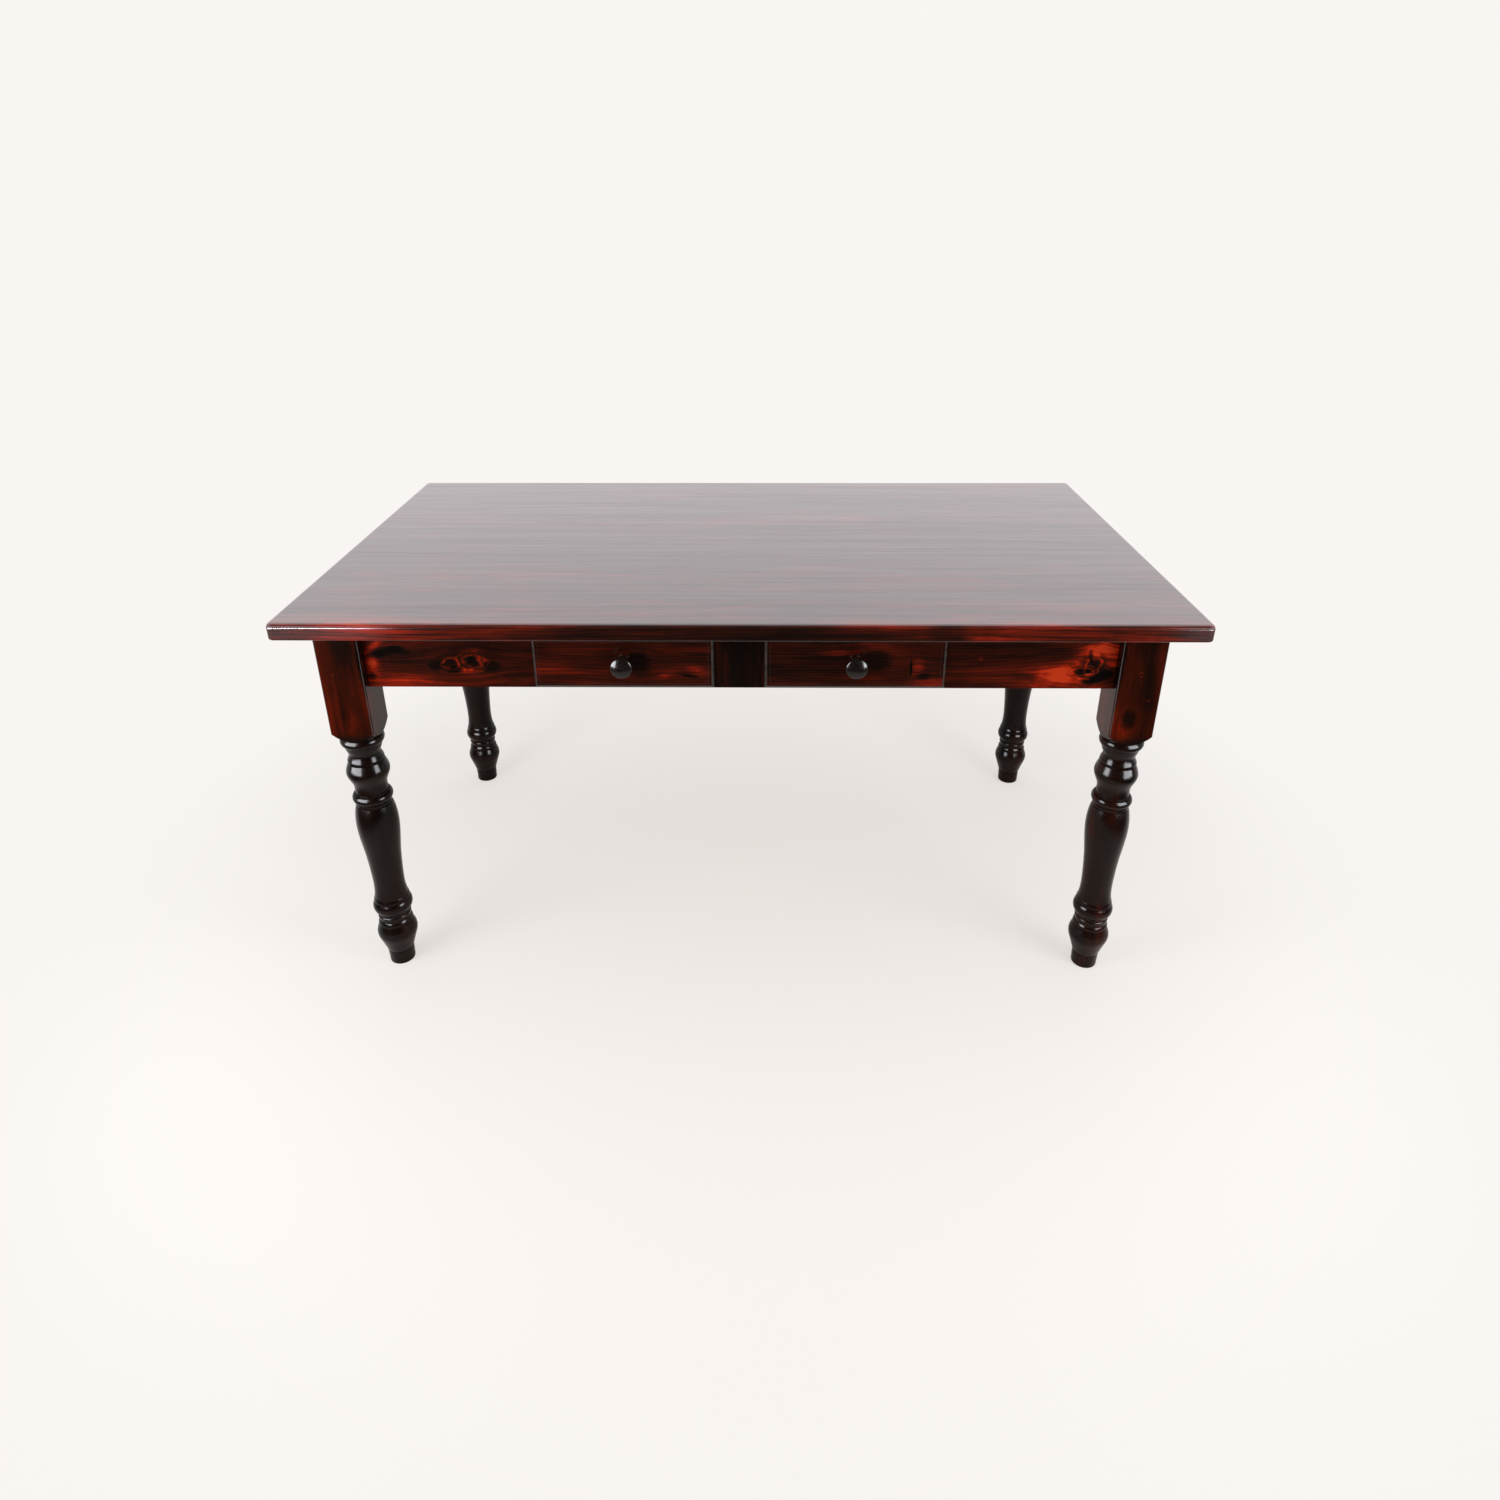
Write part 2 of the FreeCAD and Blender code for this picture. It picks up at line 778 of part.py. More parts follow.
def bottom_pins(play=0.0):
    """The small screws that hold the bottom panel up to the back board."""
    middle = (drawer_back_y + drawer_rear_y) / 2
    spacing = 2 * drawer_half / (pin_count + 1)
    pin = screw(pin_length, play, pin_radius, pin_head_radius, pin_head_height)
    return [placed(pin, (-drawer_half + spacing * (k + 1), middle, bottom_low), (0, 0, 1))
            for k in range(pin_count)]


def knob_screw(play=0.0):
    """The screw from inside the drawer into the knob, its round head on the front."""
    length = tongue_back_y - field_face_y + knob_screw_grip
    shank = Part.makeCylinder(knob_screw_radius + play, length)
    if play:
        return placed(shank, (0, tongue_back_y, knob_z), (0, -1, 0))
    head = Part.makeCylinder(knob_screw_head_radius, knob_screw_head_height,
                             V(0, 0, -knob_screw_head_height))
    head = head.makeFillet(knob_screw_head_height / 2,
                           rim_edges(head, -knob_screw_head_height, 2))
    slot = box(-knob_screw_head_radius, knob_screw_head_radius, -screw_slot_width / 2,
               screw_slot_width / 2, -knob_screw_head_height,
               -knob_screw_head_height + screw_slot_depth)
    body = shank.fuse(head).removeSplitter().cut(slot)
    return placed(body, (0, tongue_back_y, knob_z), (0, -1, 0))


def knob():
    """A mushroom knob about x = 0: base, waisted neck, cupped back, rim and dome."""
    line = Outline(0, 0)
    line.to(knob_base_radius, 0)
    line.to(knob_base_radius, knob_base_height)
    line.arc(knob_neck_radius, knob_cup_radius, knob_cup_rise,
             knob_neck_rise / knob_cup_rise)
    line.arc(knob_radius, knob_crown_radius, knob_crown_rise,
             knob_rim_rise / knob_crown_rise)
    line.dome(knob_dome_rise)
    line.to(0, -line.height)
    body = turned(line.edges, V(0, 0, 0), V(0, 0, 1))
    body = placed(body, (0, field_face_y, knob_z), (0, -1, 0))
    return body.cut(knob_screw(hole_play))


def drawer_pieces(name, side):
    """Every piece of one drawer, moved to its opening."""
    right = drawer_side()
    pieces = {
        "front": drawer_front(),
        "side_right": right,
        "side_left": right.mirror(V(0, 0, 0), V(1, 0, 0)),
        "back": drawer_back(),
        "bottom": drawer_bottom(),
        "knob": knob(),
        "knob_screw": knob_screw(),
        "bottom_screws": Part.makeCompound(bottom_pins()),
    }
    for hole in bottom_pins(hole_play):
        pieces["bottom"] = pieces["bottom"].cut(hole)
    for shape in pieces.values():
        shape.translate(V(side * drawer_centre_x, 0, 0))
    return {f"{name}_drawer_{key}": shape for key, shape in pieces.items()}


def frame_pieces():
    """The front frame, the three plain aprons and the runners let into them."""
    pieces = {}
    near = box(-opening_near, opening_near, -apron_face_y, -apron_inner_y, apron_low, top_low)
    back = box(-leg_inner_x, leg_inner_x, apron_inner_y, apron_face_y, apron_low, top_low)
    panel = box(opening_far, leg_inner_x, -apron_face_y, -apron_inner_y, apron_low, top_low)
    end = box(apron_inner_x, apron_face_x, -leg_inner_y, leg_inner_y, apron_low, top_low)
    upper = rail(opening_high, top_low, apron_thickness)
    lower = rail(apron_low, opening_low, lower_rail_depth)
    pieces["front_centre_stile"] = near
    pieces["back_apron"] = back
    for name, side in SIDES:
        pieces[f"front_panel_{name}"] = quadrant(panel, side, 1)
        pieces[f"front_upper_rail_{name}"] = quadrant(upper, side, 1)
        pieces[f"front_lower_rail_{name}"] = quadrant(lower, side, 1)
        pieces[f"side_apron_{name}"] = quadrant(end, side, 1)
        pieces[f"{name}_drawer_kicker"] = quadrant(kicker(), side, 1)
        for hand, sign in SIDES:
            strip = quadrant(runner(sign * side), side, 1)
            pieces[f"{name}_drawer_runner_{hand}"] = strip
    return pieces


def cut_by(shape, tools):
    """A shape less every tool that reaches into it."""
    for tool in tools:
        if shape.BoundBox.intersect(tool.BoundBox):
            shape = shape.cut(tool)
    return shape


def joint_cuts(pieces):
    """Mortises, housings, slots and screw holes in the pieces of the frame."""
    rails = [pieces[f"front_{level}_rail_{name}"] for level in ("upper", "lower")
             for name, side in SIDES]
    runners = [pieces[f"{name}_drawer_runner_{hand}"] for name, side in SIDES
               for hand, sign in SIDES]
    slots = buttons(slot_play)
    block_holes = [quadrant(hole, side, face) for name, side in SIDES
                   for end, face in ENDS for hole in corner_screws(hole_play)]
    for name in ("front_panel_left", "front_panel_right", "front_centre_stile",
                 "back_apron", "side_apron_left", "side_apron_right"):
        pieces[name] = cut_by(pieces[name], rails + runners + slots + block_holes)
    for name, side in SIDES:
        holes = kicker_screws(hole_play) + [stop_screw(hole_play)]
        holes = [quadrant(hole, side, 1) for hole in holes]
        pieces[f"{name}_drawer_kicker"] = cut_by(pieces[f"{name}_drawer_kicker"], holes)


def build():
    """All the pieces of the table by name."""
    pieces = frame_pieces()
    joint_cuts(pieces)

    kicker_set = [quadrant(part, side, 1) for name, side in SIDES for part in kicker_screws()]
    kicker_holes = [quadrant(part, side, 1) for name, side in SIDES
                    for part in kicker_screws(hole_play)]
    top_holes = button_screws(hole_play) + kicker_holes
    for number, board in enumerate(top_boards(), 1):
        pieces[f"top_board_{number}"] = cut_by(board, top_holes)

    one_leg = leg()
    one_block = corner_block()
    sets = {"corner_bolts": [], "corner_washers": [], "corner_nuts": [], "corner_screws": []}
    for end, face in ENDS:
        for name, side in SIDES:
            pieces[f"leg_{end}_{name}"] = quadrant(one_leg, side, face)
            pieces[f"corner_block_{end}_{name}"] = quadrant(one_block, side, face)
            sets["corner_bolts"].append(quadrant(corner_bolt(0), side, face))
            sets["corner_washers"].append(quadrant(washer(), side, face))
            sets["corner_nuts"].append(quadrant(nut(), side, face))
            for part in corner_screws():
                sets["corner_screws"].append(quadrant(part, side, face))

    stop_holes = [stop_screw(hole_play)]
    sets["drawer_stops"] = [quadrant(cut_by(stop(), stop_holes), side, 1)
                            for name, side in SIDES]
    sets["drawer_stop_screws"] = [quadrant(stop_screw(), side, 1) for name, side in SIDES]
    sets["kicker_screws"] = kicker_set
    button_holes = button_screws(hole_play)
    sets["top_buttons"] = [cut_by(shape, button_holes) for shape in buttons()]
    sets["top_button_screws"] = button_screws()
    for name, shapes in sets.items():
        pieces[name] = Part.makeCompound(shapes)

    for name, side in SIDES:
        pieces.update(drawer_pieces(name, side))
    return pieces


def export(pieces):
    """One STEP file per piece, and a line on each."""
    os.makedirs("parts", exist_ok=True)
    for name in sorted(pieces):
        shape = pieces[name]
        shape.exportStep(f"parts/{name}.step")
        bounds = shape.BoundBox
        print(f"{name}: {len(shape.Solids)} solid(s), {shape.Volume / 1000:.1f} cm3, "
              f"x {bounds.XMin:.1f} to {bounds.XMax:.1f}, "
              f"y {bounds.YMin:.1f} to {bounds.YMax:.1f}, "
              f"z {bounds.ZMin:.1f} to {bounds.ZMax:.1f}, valid {shape.isValid()}")
    print(len(pieces), "nodes")


export(build())
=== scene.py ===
# %% [markdown]
# # A stained pine farmhouse table
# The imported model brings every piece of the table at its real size: six top boards, four
# turned legs, the aprons, two dovetailed drawers and the hidden blocks and screws. Their
# shapes could be built again here, but they already fit each other to a fraction of a
# millimetre, so this lesson gives them only their finish. All that shows is wood that was
# stained dark, lacquered and polished, so most of the work is in one good recipe for it.

# %% Load the table
import math
from dataclasses import dataclass

import bpy
from mathutils import Matrix, Vector


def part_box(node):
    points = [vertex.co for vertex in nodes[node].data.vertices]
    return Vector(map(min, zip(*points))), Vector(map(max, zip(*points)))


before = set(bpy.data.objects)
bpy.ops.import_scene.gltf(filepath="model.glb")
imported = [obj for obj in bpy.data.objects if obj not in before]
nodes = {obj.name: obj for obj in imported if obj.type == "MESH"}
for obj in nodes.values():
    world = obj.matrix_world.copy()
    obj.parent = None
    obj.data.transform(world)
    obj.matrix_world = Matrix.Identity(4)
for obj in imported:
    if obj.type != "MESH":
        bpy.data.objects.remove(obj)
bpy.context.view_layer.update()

# %% [markdown]
# ## The camera
# The photograph was taken from standing height with a wide lens, a little to the right of
# the table's middle. A camera can be set by eye, but then the legs never quite meet their
# outline. The place, the angles and the focal length below were fitted to the edges of the
# top and the legs. The lens was aimed above the middle of the picture, which a vertical
# shift repeats without tilting the camera.

# %% Camera
image_size = 1500
sensor_width = 36.0
camera_place = Vector((0.0375, -1.8932, 1.3894))
camera_tilt = math.radians(-24.567)
camera_turn = math.radians(0.795)
camera_roll = math.radians(-0.199)
focal_pixels = 998.76
centre_pixel = (748.67, 648.73)
level = math.pi / 2

camera_data = bpy.data.cameras.new("camera")
camera_data.sensor_width = sensor_width
camera_data.lens = focal_pixels / image_size * sensor_width
camera_data.shift_x = (image_size / 2 - centre_pixel[0]) / image_size
camera_data.shift_y = (centre_pixel[1] - image_size / 2) / image_size
camera = bpy.data.objects.new("camera", camera_data)
bpy.context.scene.collection.objects.link(camera)
camera.matrix_world = (Matrix.Translation(camera_place)
                       @ Matrix.Rotation(camera_turn, 4, "Z")
                       @ Matrix.Rotation(level + camera_tilt, 4, "X")
                       @ Matrix.Rotation(camera_roll, 4, "Z"))
bpy.context.scene.camera = camera
print("lens", round(camera_data.lens, 2), "mm, shift", round(camera_data.shift_y, 4))

# %% [markdown]
# ## A short way to write nodes
# A material in Blender is a tree of nodes. It can be drawn by hand in the shader editor, but
# a drawing is hard to repeat for every board. Written out in full, each node takes several
# lines. This small class adds one node per call, feeds its inputs by name and hands
# back the output, so a finish reads from top to bottom. A constant goes straight into the
# socket, and anything else is linked.

# %% Nodes
class Nodes:
    """A node tree, written as a chain of calls that each add a node."""

    def __init__(self, tree):
        self.tree = tree

    def feed(self, socket, value):
        if isinstance(value, bpy.types.NodeSocket):
            self.tree.links.new(value, socket)
        else:
            socket.default_value = value

    def new(self, kind, **settings):
        made = self.tree.nodes.new("ShaderNode" + kind)
        for key, value in settings.items():
            setattr(made, key, value)
        return made

    def node(self, kind, output=0, **inputs):
        made = self.new(kind)
        for key, value in inputs.items():
            self.feed(made.inputs[key.replace("_", " ")], value)
        return made.outputs[output]

    def here(self):
        """The place in the piece's own coordinates, in metres."""
        return self.node("TexCoord", output="Object")

    def axes(self, place):
        """The outputs X, Y and Z of a place."""
        made = self.new("SeparateXYZ")
        self.feed(made.inputs[0], place)
        return made.outputs


print("node calls ready")

# %% [markdown]
# ## Sums
# Most of a wood grain is arithmetic: layers are scaled and added up. Blender has a math node
# for each single step, and a sum of five layers takes ten of them. These calls write such a
# sum in a line. A table of shares says how much of each layer goes in, so the amounts of
# a finish stand together in one place.

# %% Node sums
class NodeSums(Nodes):
    """Sums, products and smooth steps."""

    def maths(self, operation, first, second=0.0, clamp=False):
        made = self.new("Math", operation=operation, use_clamp=clamp)
        self.feed(made.inputs[0], first)
        self.feed(made.inputs[1], second)
        return made.outputs[0]

    def add(self, *values):
        total = values[0]
        for value in values[1:]:
            total = self.maths("ADD", total, value)
        return total

    def times(self, first, second):
        return self.maths("MULTIPLY", first, second)

    def total(self, shares, **parts):
        """The start value in a table of shares, plus every part times its share."""
        value = shares.get("start", 0.0)
        for name, part in parts.items():
            value = self.maths("ADD", value, self.times(part, shares[name]))
        return value

    def spread(self, value, low, high):
        """A value moved to 0 at the low end and 1 at the high end, along a smooth step."""
        made = self.new("MapRange", interpolation_type="SMOOTHSTEP")
        for key, number in (("Value", value), ("From Min", low), ("From Max", high)):
            self.feed(made.inputs[key], number)
        return made.outputs[0]


print("node sums ready")

# %% [markdown]
# ## Patterns
# Every layer starts as noise, which is stretched: many lumps to the metre across the grain
# and few along it. Wave or brick textures repeat, and wood never does. A ramp then turns a
# number into a colour.

# %% Node patterns
# A mix node has the sockets of every kind of data. These are the numbers of the colour ones.
COLOUR_SHARE, COLOUR_A, COLOUR_B, COLOUR_RESULT = 0, 6, 7, 2


class NodePatterns(NodeSums):
    """Noise, mixes and ramps."""

    def noise(self, place, lumps, detail, warp=0.0):
        """Noise around zero, with so many lumps to the metre along each axis."""
        stretched = self.new("VectorMath", operation="MULTIPLY")
        self.feed(stretched.inputs[0], place)
        self.feed(stretched.inputs[1], lumps)
        value = self.node("TexNoise", Vector=stretched.outputs[0], Scale=1.0, Detail=detail,
                          Distortion=warp)
        return self.maths("SUBTRACT", value, 0.5)

    def blend(self, share, first, second):
        """A mix of two colours."""
        made = self.new("Mix", data_type="RGBA")
        self.feed(made.inputs[COLOUR_SHARE], share)
        self.feed(made.inputs[COLOUR_A], first)
        self.feed(made.inputs[COLOUR_B], second)
        return made.outputs[COLOUR_RESULT]

    def ramp(self, value, stops):
        """A colour picked along a list of (place, colour)."""
        made = self.new("ValToRGB")
        line = made.color_ramp
        while len(line.elements) < len(stops):
            line.elements.new(1.0)
        for element, (place, colour) in zip(line.elements, stops):
            element.position = place
            element.color = colour
        self.feed(made.inputs[0], value)
        return made.outputs[0]


print("node patterns ready")

# %% [markdown]
# ## A recipe
# Every finish on the table is one Principled shader with a colour, a gloss and a fine relief.
# Real dents could be cut into the meshes, but relief of a tenth of a millimetre would
# need millions of faces. A bump node bends only the light, which is all that shows at this
# depth.

# %% A recipe for a material
class Recipe(NodePatterns):
    """One material: its nodes, its relief and the shader's own values."""

    def __init__(self, name):
        self.material = bpy.data.materials.new(name)
        self.material.use_nodes = True
        super().__init__(self.material.node_tree)
        self.shader = self.tree.nodes["Principled BSDF"]

    def bump(self, height, depth, sockets=("Normal",)):
        """Fine relief: a height from 0 to 1 stands for so many metres."""
        made = self.new("Bump")
        for key, value in (("Strength", 1.0), ("Distance", depth), ("Height", height)):
            self.feed(made.inputs[key], value)
        for socket in sockets:
            self.feed(self.shader.inputs[socket], made.outputs[0])

    def finish(self, **values):
        """Sets the shader's own sockets and returns the material."""
        for key, value in values.items():
            self.feed(self.shader.inputs[key.replace("_", " ")], value)
        return self.material


print("recipe ready")

# %% [markdown]
# ## Where the grain runs
# Wood has a direction. Each board needs its own space with one axis along the grain, one
# across the face and one into the thickness. A picture of wood on an unwrapped mesh could
# bring that, but it repeats, and it breaks at every edge. The piece's own coordinates run on
# through edges and end grain, and they stay with a drawer when it slides out. An offset per
# board makes neighbours come from different trunks, as in a real glued top.

# %% Grain space
GRAIN_AXES = {
    "flat": ("X", "Y", "Z"),
    "long": ("X", "Z", "Y"),
    "side": ("Y", "Z", "X"),
    "upright": ("Z", "X", "Y"),
}
trunk_spacing = 3.7


def grain_axes(recipe, grain):
    """The place in a board: along the grain, across the face and into the thickness."""
    split = recipe.axes(recipe.here())
    return [split[axis] for axis in GRAIN_AXES[grain]]


def in_trunk(recipe, along, across, into, seed):
    """That place in the trunk that the board was sawn from."""
    return recipe.node("CombineXYZ", X=recipe.add(along, seed * trunk_spacing), Y=across,
                       Z=into)


print("grain directions", sorted(GRAIN_AXES))

# %% [markdown]
# ## Growth rings
# A sawn board cuts through the rings of a trunk. Blender's wave texture draws plain stripes,
# but real rings come from the distance to the trunk's heart, so that is what is worked out
# here. The heart lies outside the board and wanders a little along its length, which draws
# the long arches on the face. Each ring is soft on one side and sharp on the other, because
# the late wood stops at once when winter comes.

# %% Growth rings
ring_period = 0.0052
heart_depth = 0.055
wander_reach = 0.09
tremble_reach = 0.012
late_wood_power = 2.2
winter_start = 0.93


def growth_rings(recipe, place, across, into, heart):
    """Rings from 0 in the early wood to 1 in the late wood."""
    wander = recipe.noise(place, lumps=(1.7, 3.0, 3.0), detail=1.0)
    tremble = recipe.noise(place, lumps=(9.0, 22.0, 22.0), detail=2.0)
    side = recipe.add(across, -heart, recipe.times(wander, wander_reach))
    deep = recipe.add(into, heart_depth, recipe.times(tremble, tremble_reach))
    radius = recipe.maths("SQRT", recipe.add(recipe.times(side, side),
                                             recipe.times(deep, deep)))
    phase = recipe.maths("FRACT", recipe.times(radius, 1 / ring_period))
    rise = recipe.maths("POWER", phase, late_wood_power)
    return recipe.times(rise, recipe.spread(phase, 1.0, winter_start))


print("ring period", ring_period * 1000, "mm")

# %% [markdown]
# ## Knots
# A knot is where a branch left the trunk. Its core is dark, and on this table the stain
# around it glows orange, because resin kept the dark colour out. Knots could be left to
# chance with a cell texture, but these are the first thing that the eye finds on the front,
# so each mark has its own place, size and slant. Its profile tells how the tone changes
# with the distance from its heart, counted in its own size. An eye has a dark core, a thin
# glowing ring and a dark halo, a flame glows in its middle, a burl is dark, and a loop is
# a glowing ring alone. The dark burl profile also paints a few patches of shade.

# %% Knot profiles
EYE = ((0.0, -0.62), (0.36, -0.55), (0.52, 0.10), (0.62, 0.46), (0.72, 0.10), (0.84, -0.20),
       (0.96, 0.26), (1.1, -0.12), (1.5, -0.10), (2.4, 0.0))
FLAME = ((0.0, 0.46), (0.5, 0.42), (1.1, 0.22), (1.7, 0.07), (2.4, 0.0))
BURL_AND_SHADE = ((0.0, -0.60), (0.6, -0.50), (1.0, -0.20), (1.4, 0.04), (2.4, 0.0))
LOOP = ((0.0, -0.16), (0.50, -0.20), (0.66, 0.10), (0.78, 0.46), (0.90, 0.08), (1.05, -0.14),
        (1.5, 0.0), (2.4, 0.0))


@dataclass
class Knot:
    """A mark in the wood or a patch of painted shade: place and half sizes in metres, slant in
    degrees.
    """

    profile: tuple
    along: float
    across: float
    length: float
    height: float
    strength: float = 1.0
    flow: float = 0.6
    slant: float = 0.0
    into: float = None
    depth: float = None


print("knot profiles", len((EYE, FLAME, BURL_AND_SHADE, LOOP)))

# %% [markdown]
# ## How a knot bends the grain
# The grain parts in front of a knot and closes behind it, as water does round a pile. Painted
# lines could follow it, but there is a formula for that flow, y (1 - 1 / r^2). It moves the
# place where the fibres are looked up, so every layer of the wood bends together.

# %% Knot effect
profile_reach = 2.4
flow_softness = 0.6
ramp_middle = 0.5


def knot_effect(recipe, place, knot, ragged):
    """What a knot adds to the tone, and how far it pushes the grain aside."""
    along, across, into = place
    along = recipe.add(along, -knot.along)
    across = recipe.add(across, -knot.across)
    if knot.slant:
        turn = math.cos(math.radians(knot.slant))
        lean = math.sin(math.radians(knot.slant))
        along, across = (recipe.add(recipe.times(along, turn), recipe.times(across, lean)),
                         recipe.add(recipe.times(across, turn), recipe.times(along, -lean)))
    shift = recipe.times(along, 1 / knot.length)
    rise = recipe.times(across, 1 / knot.height)
    total = recipe.add(recipe.times(shift, shift), recipe.times(rise, rise))
    if knot.into is not None:
        sink = recipe.times(recipe.add(into, -knot.into), 1 / knot.depth)
        total = recipe.add(total, recipe.times(sink, sink))
    distance = recipe.add(recipe.maths("SQRT", total), ragged)
    # A ramp holds no negative grey, so its greys stand for changes around a middle.
    stops = [(reach / profile_reach, (ramp_middle + change,) * 3 + (1,))
             for reach, change in knot.profile]
    grey = recipe.ramp(recipe.times(distance, 1 / profile_reach), stops)
    change = recipe.times(recipe.maths("SUBTRACT", grey, ramp_middle), knot.strength)
    if not knot.flow:
        return change, 0.0
    return change, recipe.maths("DIVIDE", recipe.times(across, -knot.flow),
                                recipe.add(total, flow_softness))


print("knots bend the grain within", profile_reach, "times their size")

# %% [markdown]
# ## The stain
# The stain is nearly black where the wood drank it and glows red where it did not. One
# brown with some noise in it would look like plastic. The recipe instead sums broad bands,
# blotches, thin streaks, fibres, rings and knots into one number, the tone, and looks up the
# colour for it on a ramp, so that every part of the figure shares the same few colours, as
# real stain does.

# %% Stain colours
STAIN_RAMP = (
    (0.00, (0.0035, 0.0020, 0.0016, 1)),
    (0.20, (0.0100, 0.0032, 0.0019, 1)),
    (0.38, (0.0350, 0.0050, 0.0021, 1)),
    (0.54, (0.0930, 0.0078, 0.0023, 1)),
    (0.68, (0.1750, 0.0100, 0.0024, 1)),
    (0.82, (0.2800, 0.0130, 0.0026, 1)),
    (1.00, (0.4400, 0.0320, 0.0060, 1)),
)
full_tone = 1.25


def stain_colour(recipe, tone):
    return recipe.ramp(recipe.times(tone, 1 / full_tone), STAIN_RAMP)


print("stain colours", len(STAIN_RAMP))

# %% Stain tone
STAIN_NOISES = {
    "broad": {"lumps": (1.6, 16.0, 16.0), "detail": 2.0},
    "blotch": {"lumps": (8.0, 34.0, 34.0), "detail": 3.0, "warp": 0.6},
    "streak": {"lumps": (6.0, 170.0, 170.0), "detail": 3.0},
    "fibre": {"lumps": (26.0, 900.0, 900.0), "detail": 2.0},
}
PINE_FIGURE = {"broad": 0.55, "blotch": 0.55, "streak": 0.58, "fibre": 0.14, "ring": -0.18}
ragged_reach = 1.1
mark_lines = 3.2


def stain_tone(recipe, grain, seed, tone, knots, heart=0.0, figure=PINE_FIGURE):
    """The tone from 0, black, to 1.25, orange, the parts it is made of, and their place."""
    along, across, into = grain_axes(recipe, grain)
    place = in_trunk(recipe, along, across, into, seed)
    ragged = recipe.times(recipe.noise(place, lumps=(55.0, 120.0, 120.0), detail=4.0),
                          ragged_reach)
    marks = 0.0
    flowing = across
    for knot in knots:
        change, push = knot_effect(recipe, (along, across, into), knot, ragged)
        marks = recipe.add(marks, change)
        flowing = recipe.add(flowing, push)
    place = in_trunk(recipe, along, flowing, into, seed)
    parts = {name: recipe.noise(place, **noise) for name, noise in STAIN_NOISES.items()}
    parts["ring"] = growth_rings(recipe, place, flowing, into, heart)
    lined = recipe.times(marks, recipe.add(1.0, recipe.times(parts["streak"], mark_lines)))
    shares = dict(figure, start=recipe.add(tone, lined))
    return recipe.total(shares, **parts), parts, place


print("parts of the figure", sorted(PINE_FIGURE))

# %% [markdown]
# ## Lacquered pine
# On the aprons and drawer fronts the lacquer is thin and nearly smooth, and follows the wood
# below it. A perfect mirror would look like glass, so the gloss varies with rubbed patches,
# and a slight waviness softens what it reflects.

# %% Stained pine
PINE_GLOSS = {"start": 0.17, "scuff": 0.10, "ring": 0.03}
PINE_RELIEF = {"ring": 0.18, "fibre": 0.5, "wave": 2.5}
pine_relief_depth = 0.00006


def stained_pine(name, grain, seed, tone, knots=(), figure=PINE_FIGURE):
    recipe = Recipe(name)
    tone, parts, place = stain_tone(recipe, grain, seed, tone, knots, figure=figure)
    scuff = recipe.noise(place, lumps=(9.0, 40.0, 40.0), detail=4.0)
    wave = recipe.noise(place, lumps=(18.0, 26.0, 26.0), detail=2.0)
    recipe.bump(recipe.total(PINE_RELIEF, ring=parts["ring"], fibre=parts["fibre"], wave=wave),
                pine_relief_depth)
    return recipe.finish(Base_Color=stain_colour(recipe, tone),
                         Roughness=recipe.total(PINE_GLOSS, scuff=scuff, ring=parts["ring"]),
                         Specular_IOR_Level=0.18)


print("relief of the lacquer", pine_relief_depth * 1000, "mm")

# %% [markdown]
# ## Bare pine
# Nobody stains what nobody sees: the drawer boxes, runners, corner blocks and buttons are
# bare pine, and so are the inner faces of the aprons. They could share one plain tan, but an
# open drawer shows them from close by. The same rings and fibres serve, on a pale ramp
# with no lacquer.

# %% Bare pine
BARE_RAMP = (
    (0.00, (0.30, 0.155, 0.062, 1)),
    (0.35, (0.47, 0.28, 0.125, 1)),
    (0.70, (0.60, 0.40, 0.205, 1)),
    (1.00, (0.70, 0.50, 0.290, 1)),
)
BARE_FIGURE = {"start": 0.72, "broad": 0.7, "fibre": 0.35, "ring": -0.5}
BARE_RELIEF = {"ring": 0.4, "fibre": 1.0}
bare_relief_depth = 0.00015
bare_heart = 0.02


def bare_pine(name, grain, seed):
    recipe = Recipe(name)
    along, across, into = grain_axes(recipe, grain)
    place = in_trunk(recipe, along, across, into, seed)
    ring = growth_rings(recipe, place, across, into, bare_heart)
    broad = recipe.noise(place, lumps=(1.5, 18.0, 18.0), detail=2.0)
    fibre = recipe.noise(place, lumps=(22.0, 700.0, 700.0), detail=3.0)
    tone = recipe.total(BARE_FIGURE, broad=broad, fibre=fibre, ring=ring)
    recipe.bump(recipe.total(BARE_RELIEF, ring=ring, fibre=fibre), bare_relief_depth)
    return recipe.finish(Base_Color=recipe.ramp(tone, BARE_RAMP), Roughness=0.62,
                         Specular_IOR_Level=0.35)


bare = {grain: bare_pine("bare_pine_" + grain, grain, seed)
        for seed, grain in enumerate(GRAIN_AXES)}
print("bare pine", sorted(bare))

# %% [markdown]
# ## Plywood
# The drawer bottoms are thin plywood. Its face is one sheet of wood that was peeled off the
# turning trunk, not sawn, so rings would be wrong there. It shows wide loose clouds, which
# a strongly warped noise gives.

# %% Plywood
PLY_RAMP = (
    (0.00, (0.40, 0.27, 0.150, 1)),
    (0.50, (0.56, 0.41, 0.250, 1)),
    (1.00, (0.68, 0.52, 0.340, 1)),
)
PLY_FIGURE = {"start": 0.5, "cloud": 1.1, "fibre": 0.4}
ply_relief_depth = 0.0001
ply_seed = 5


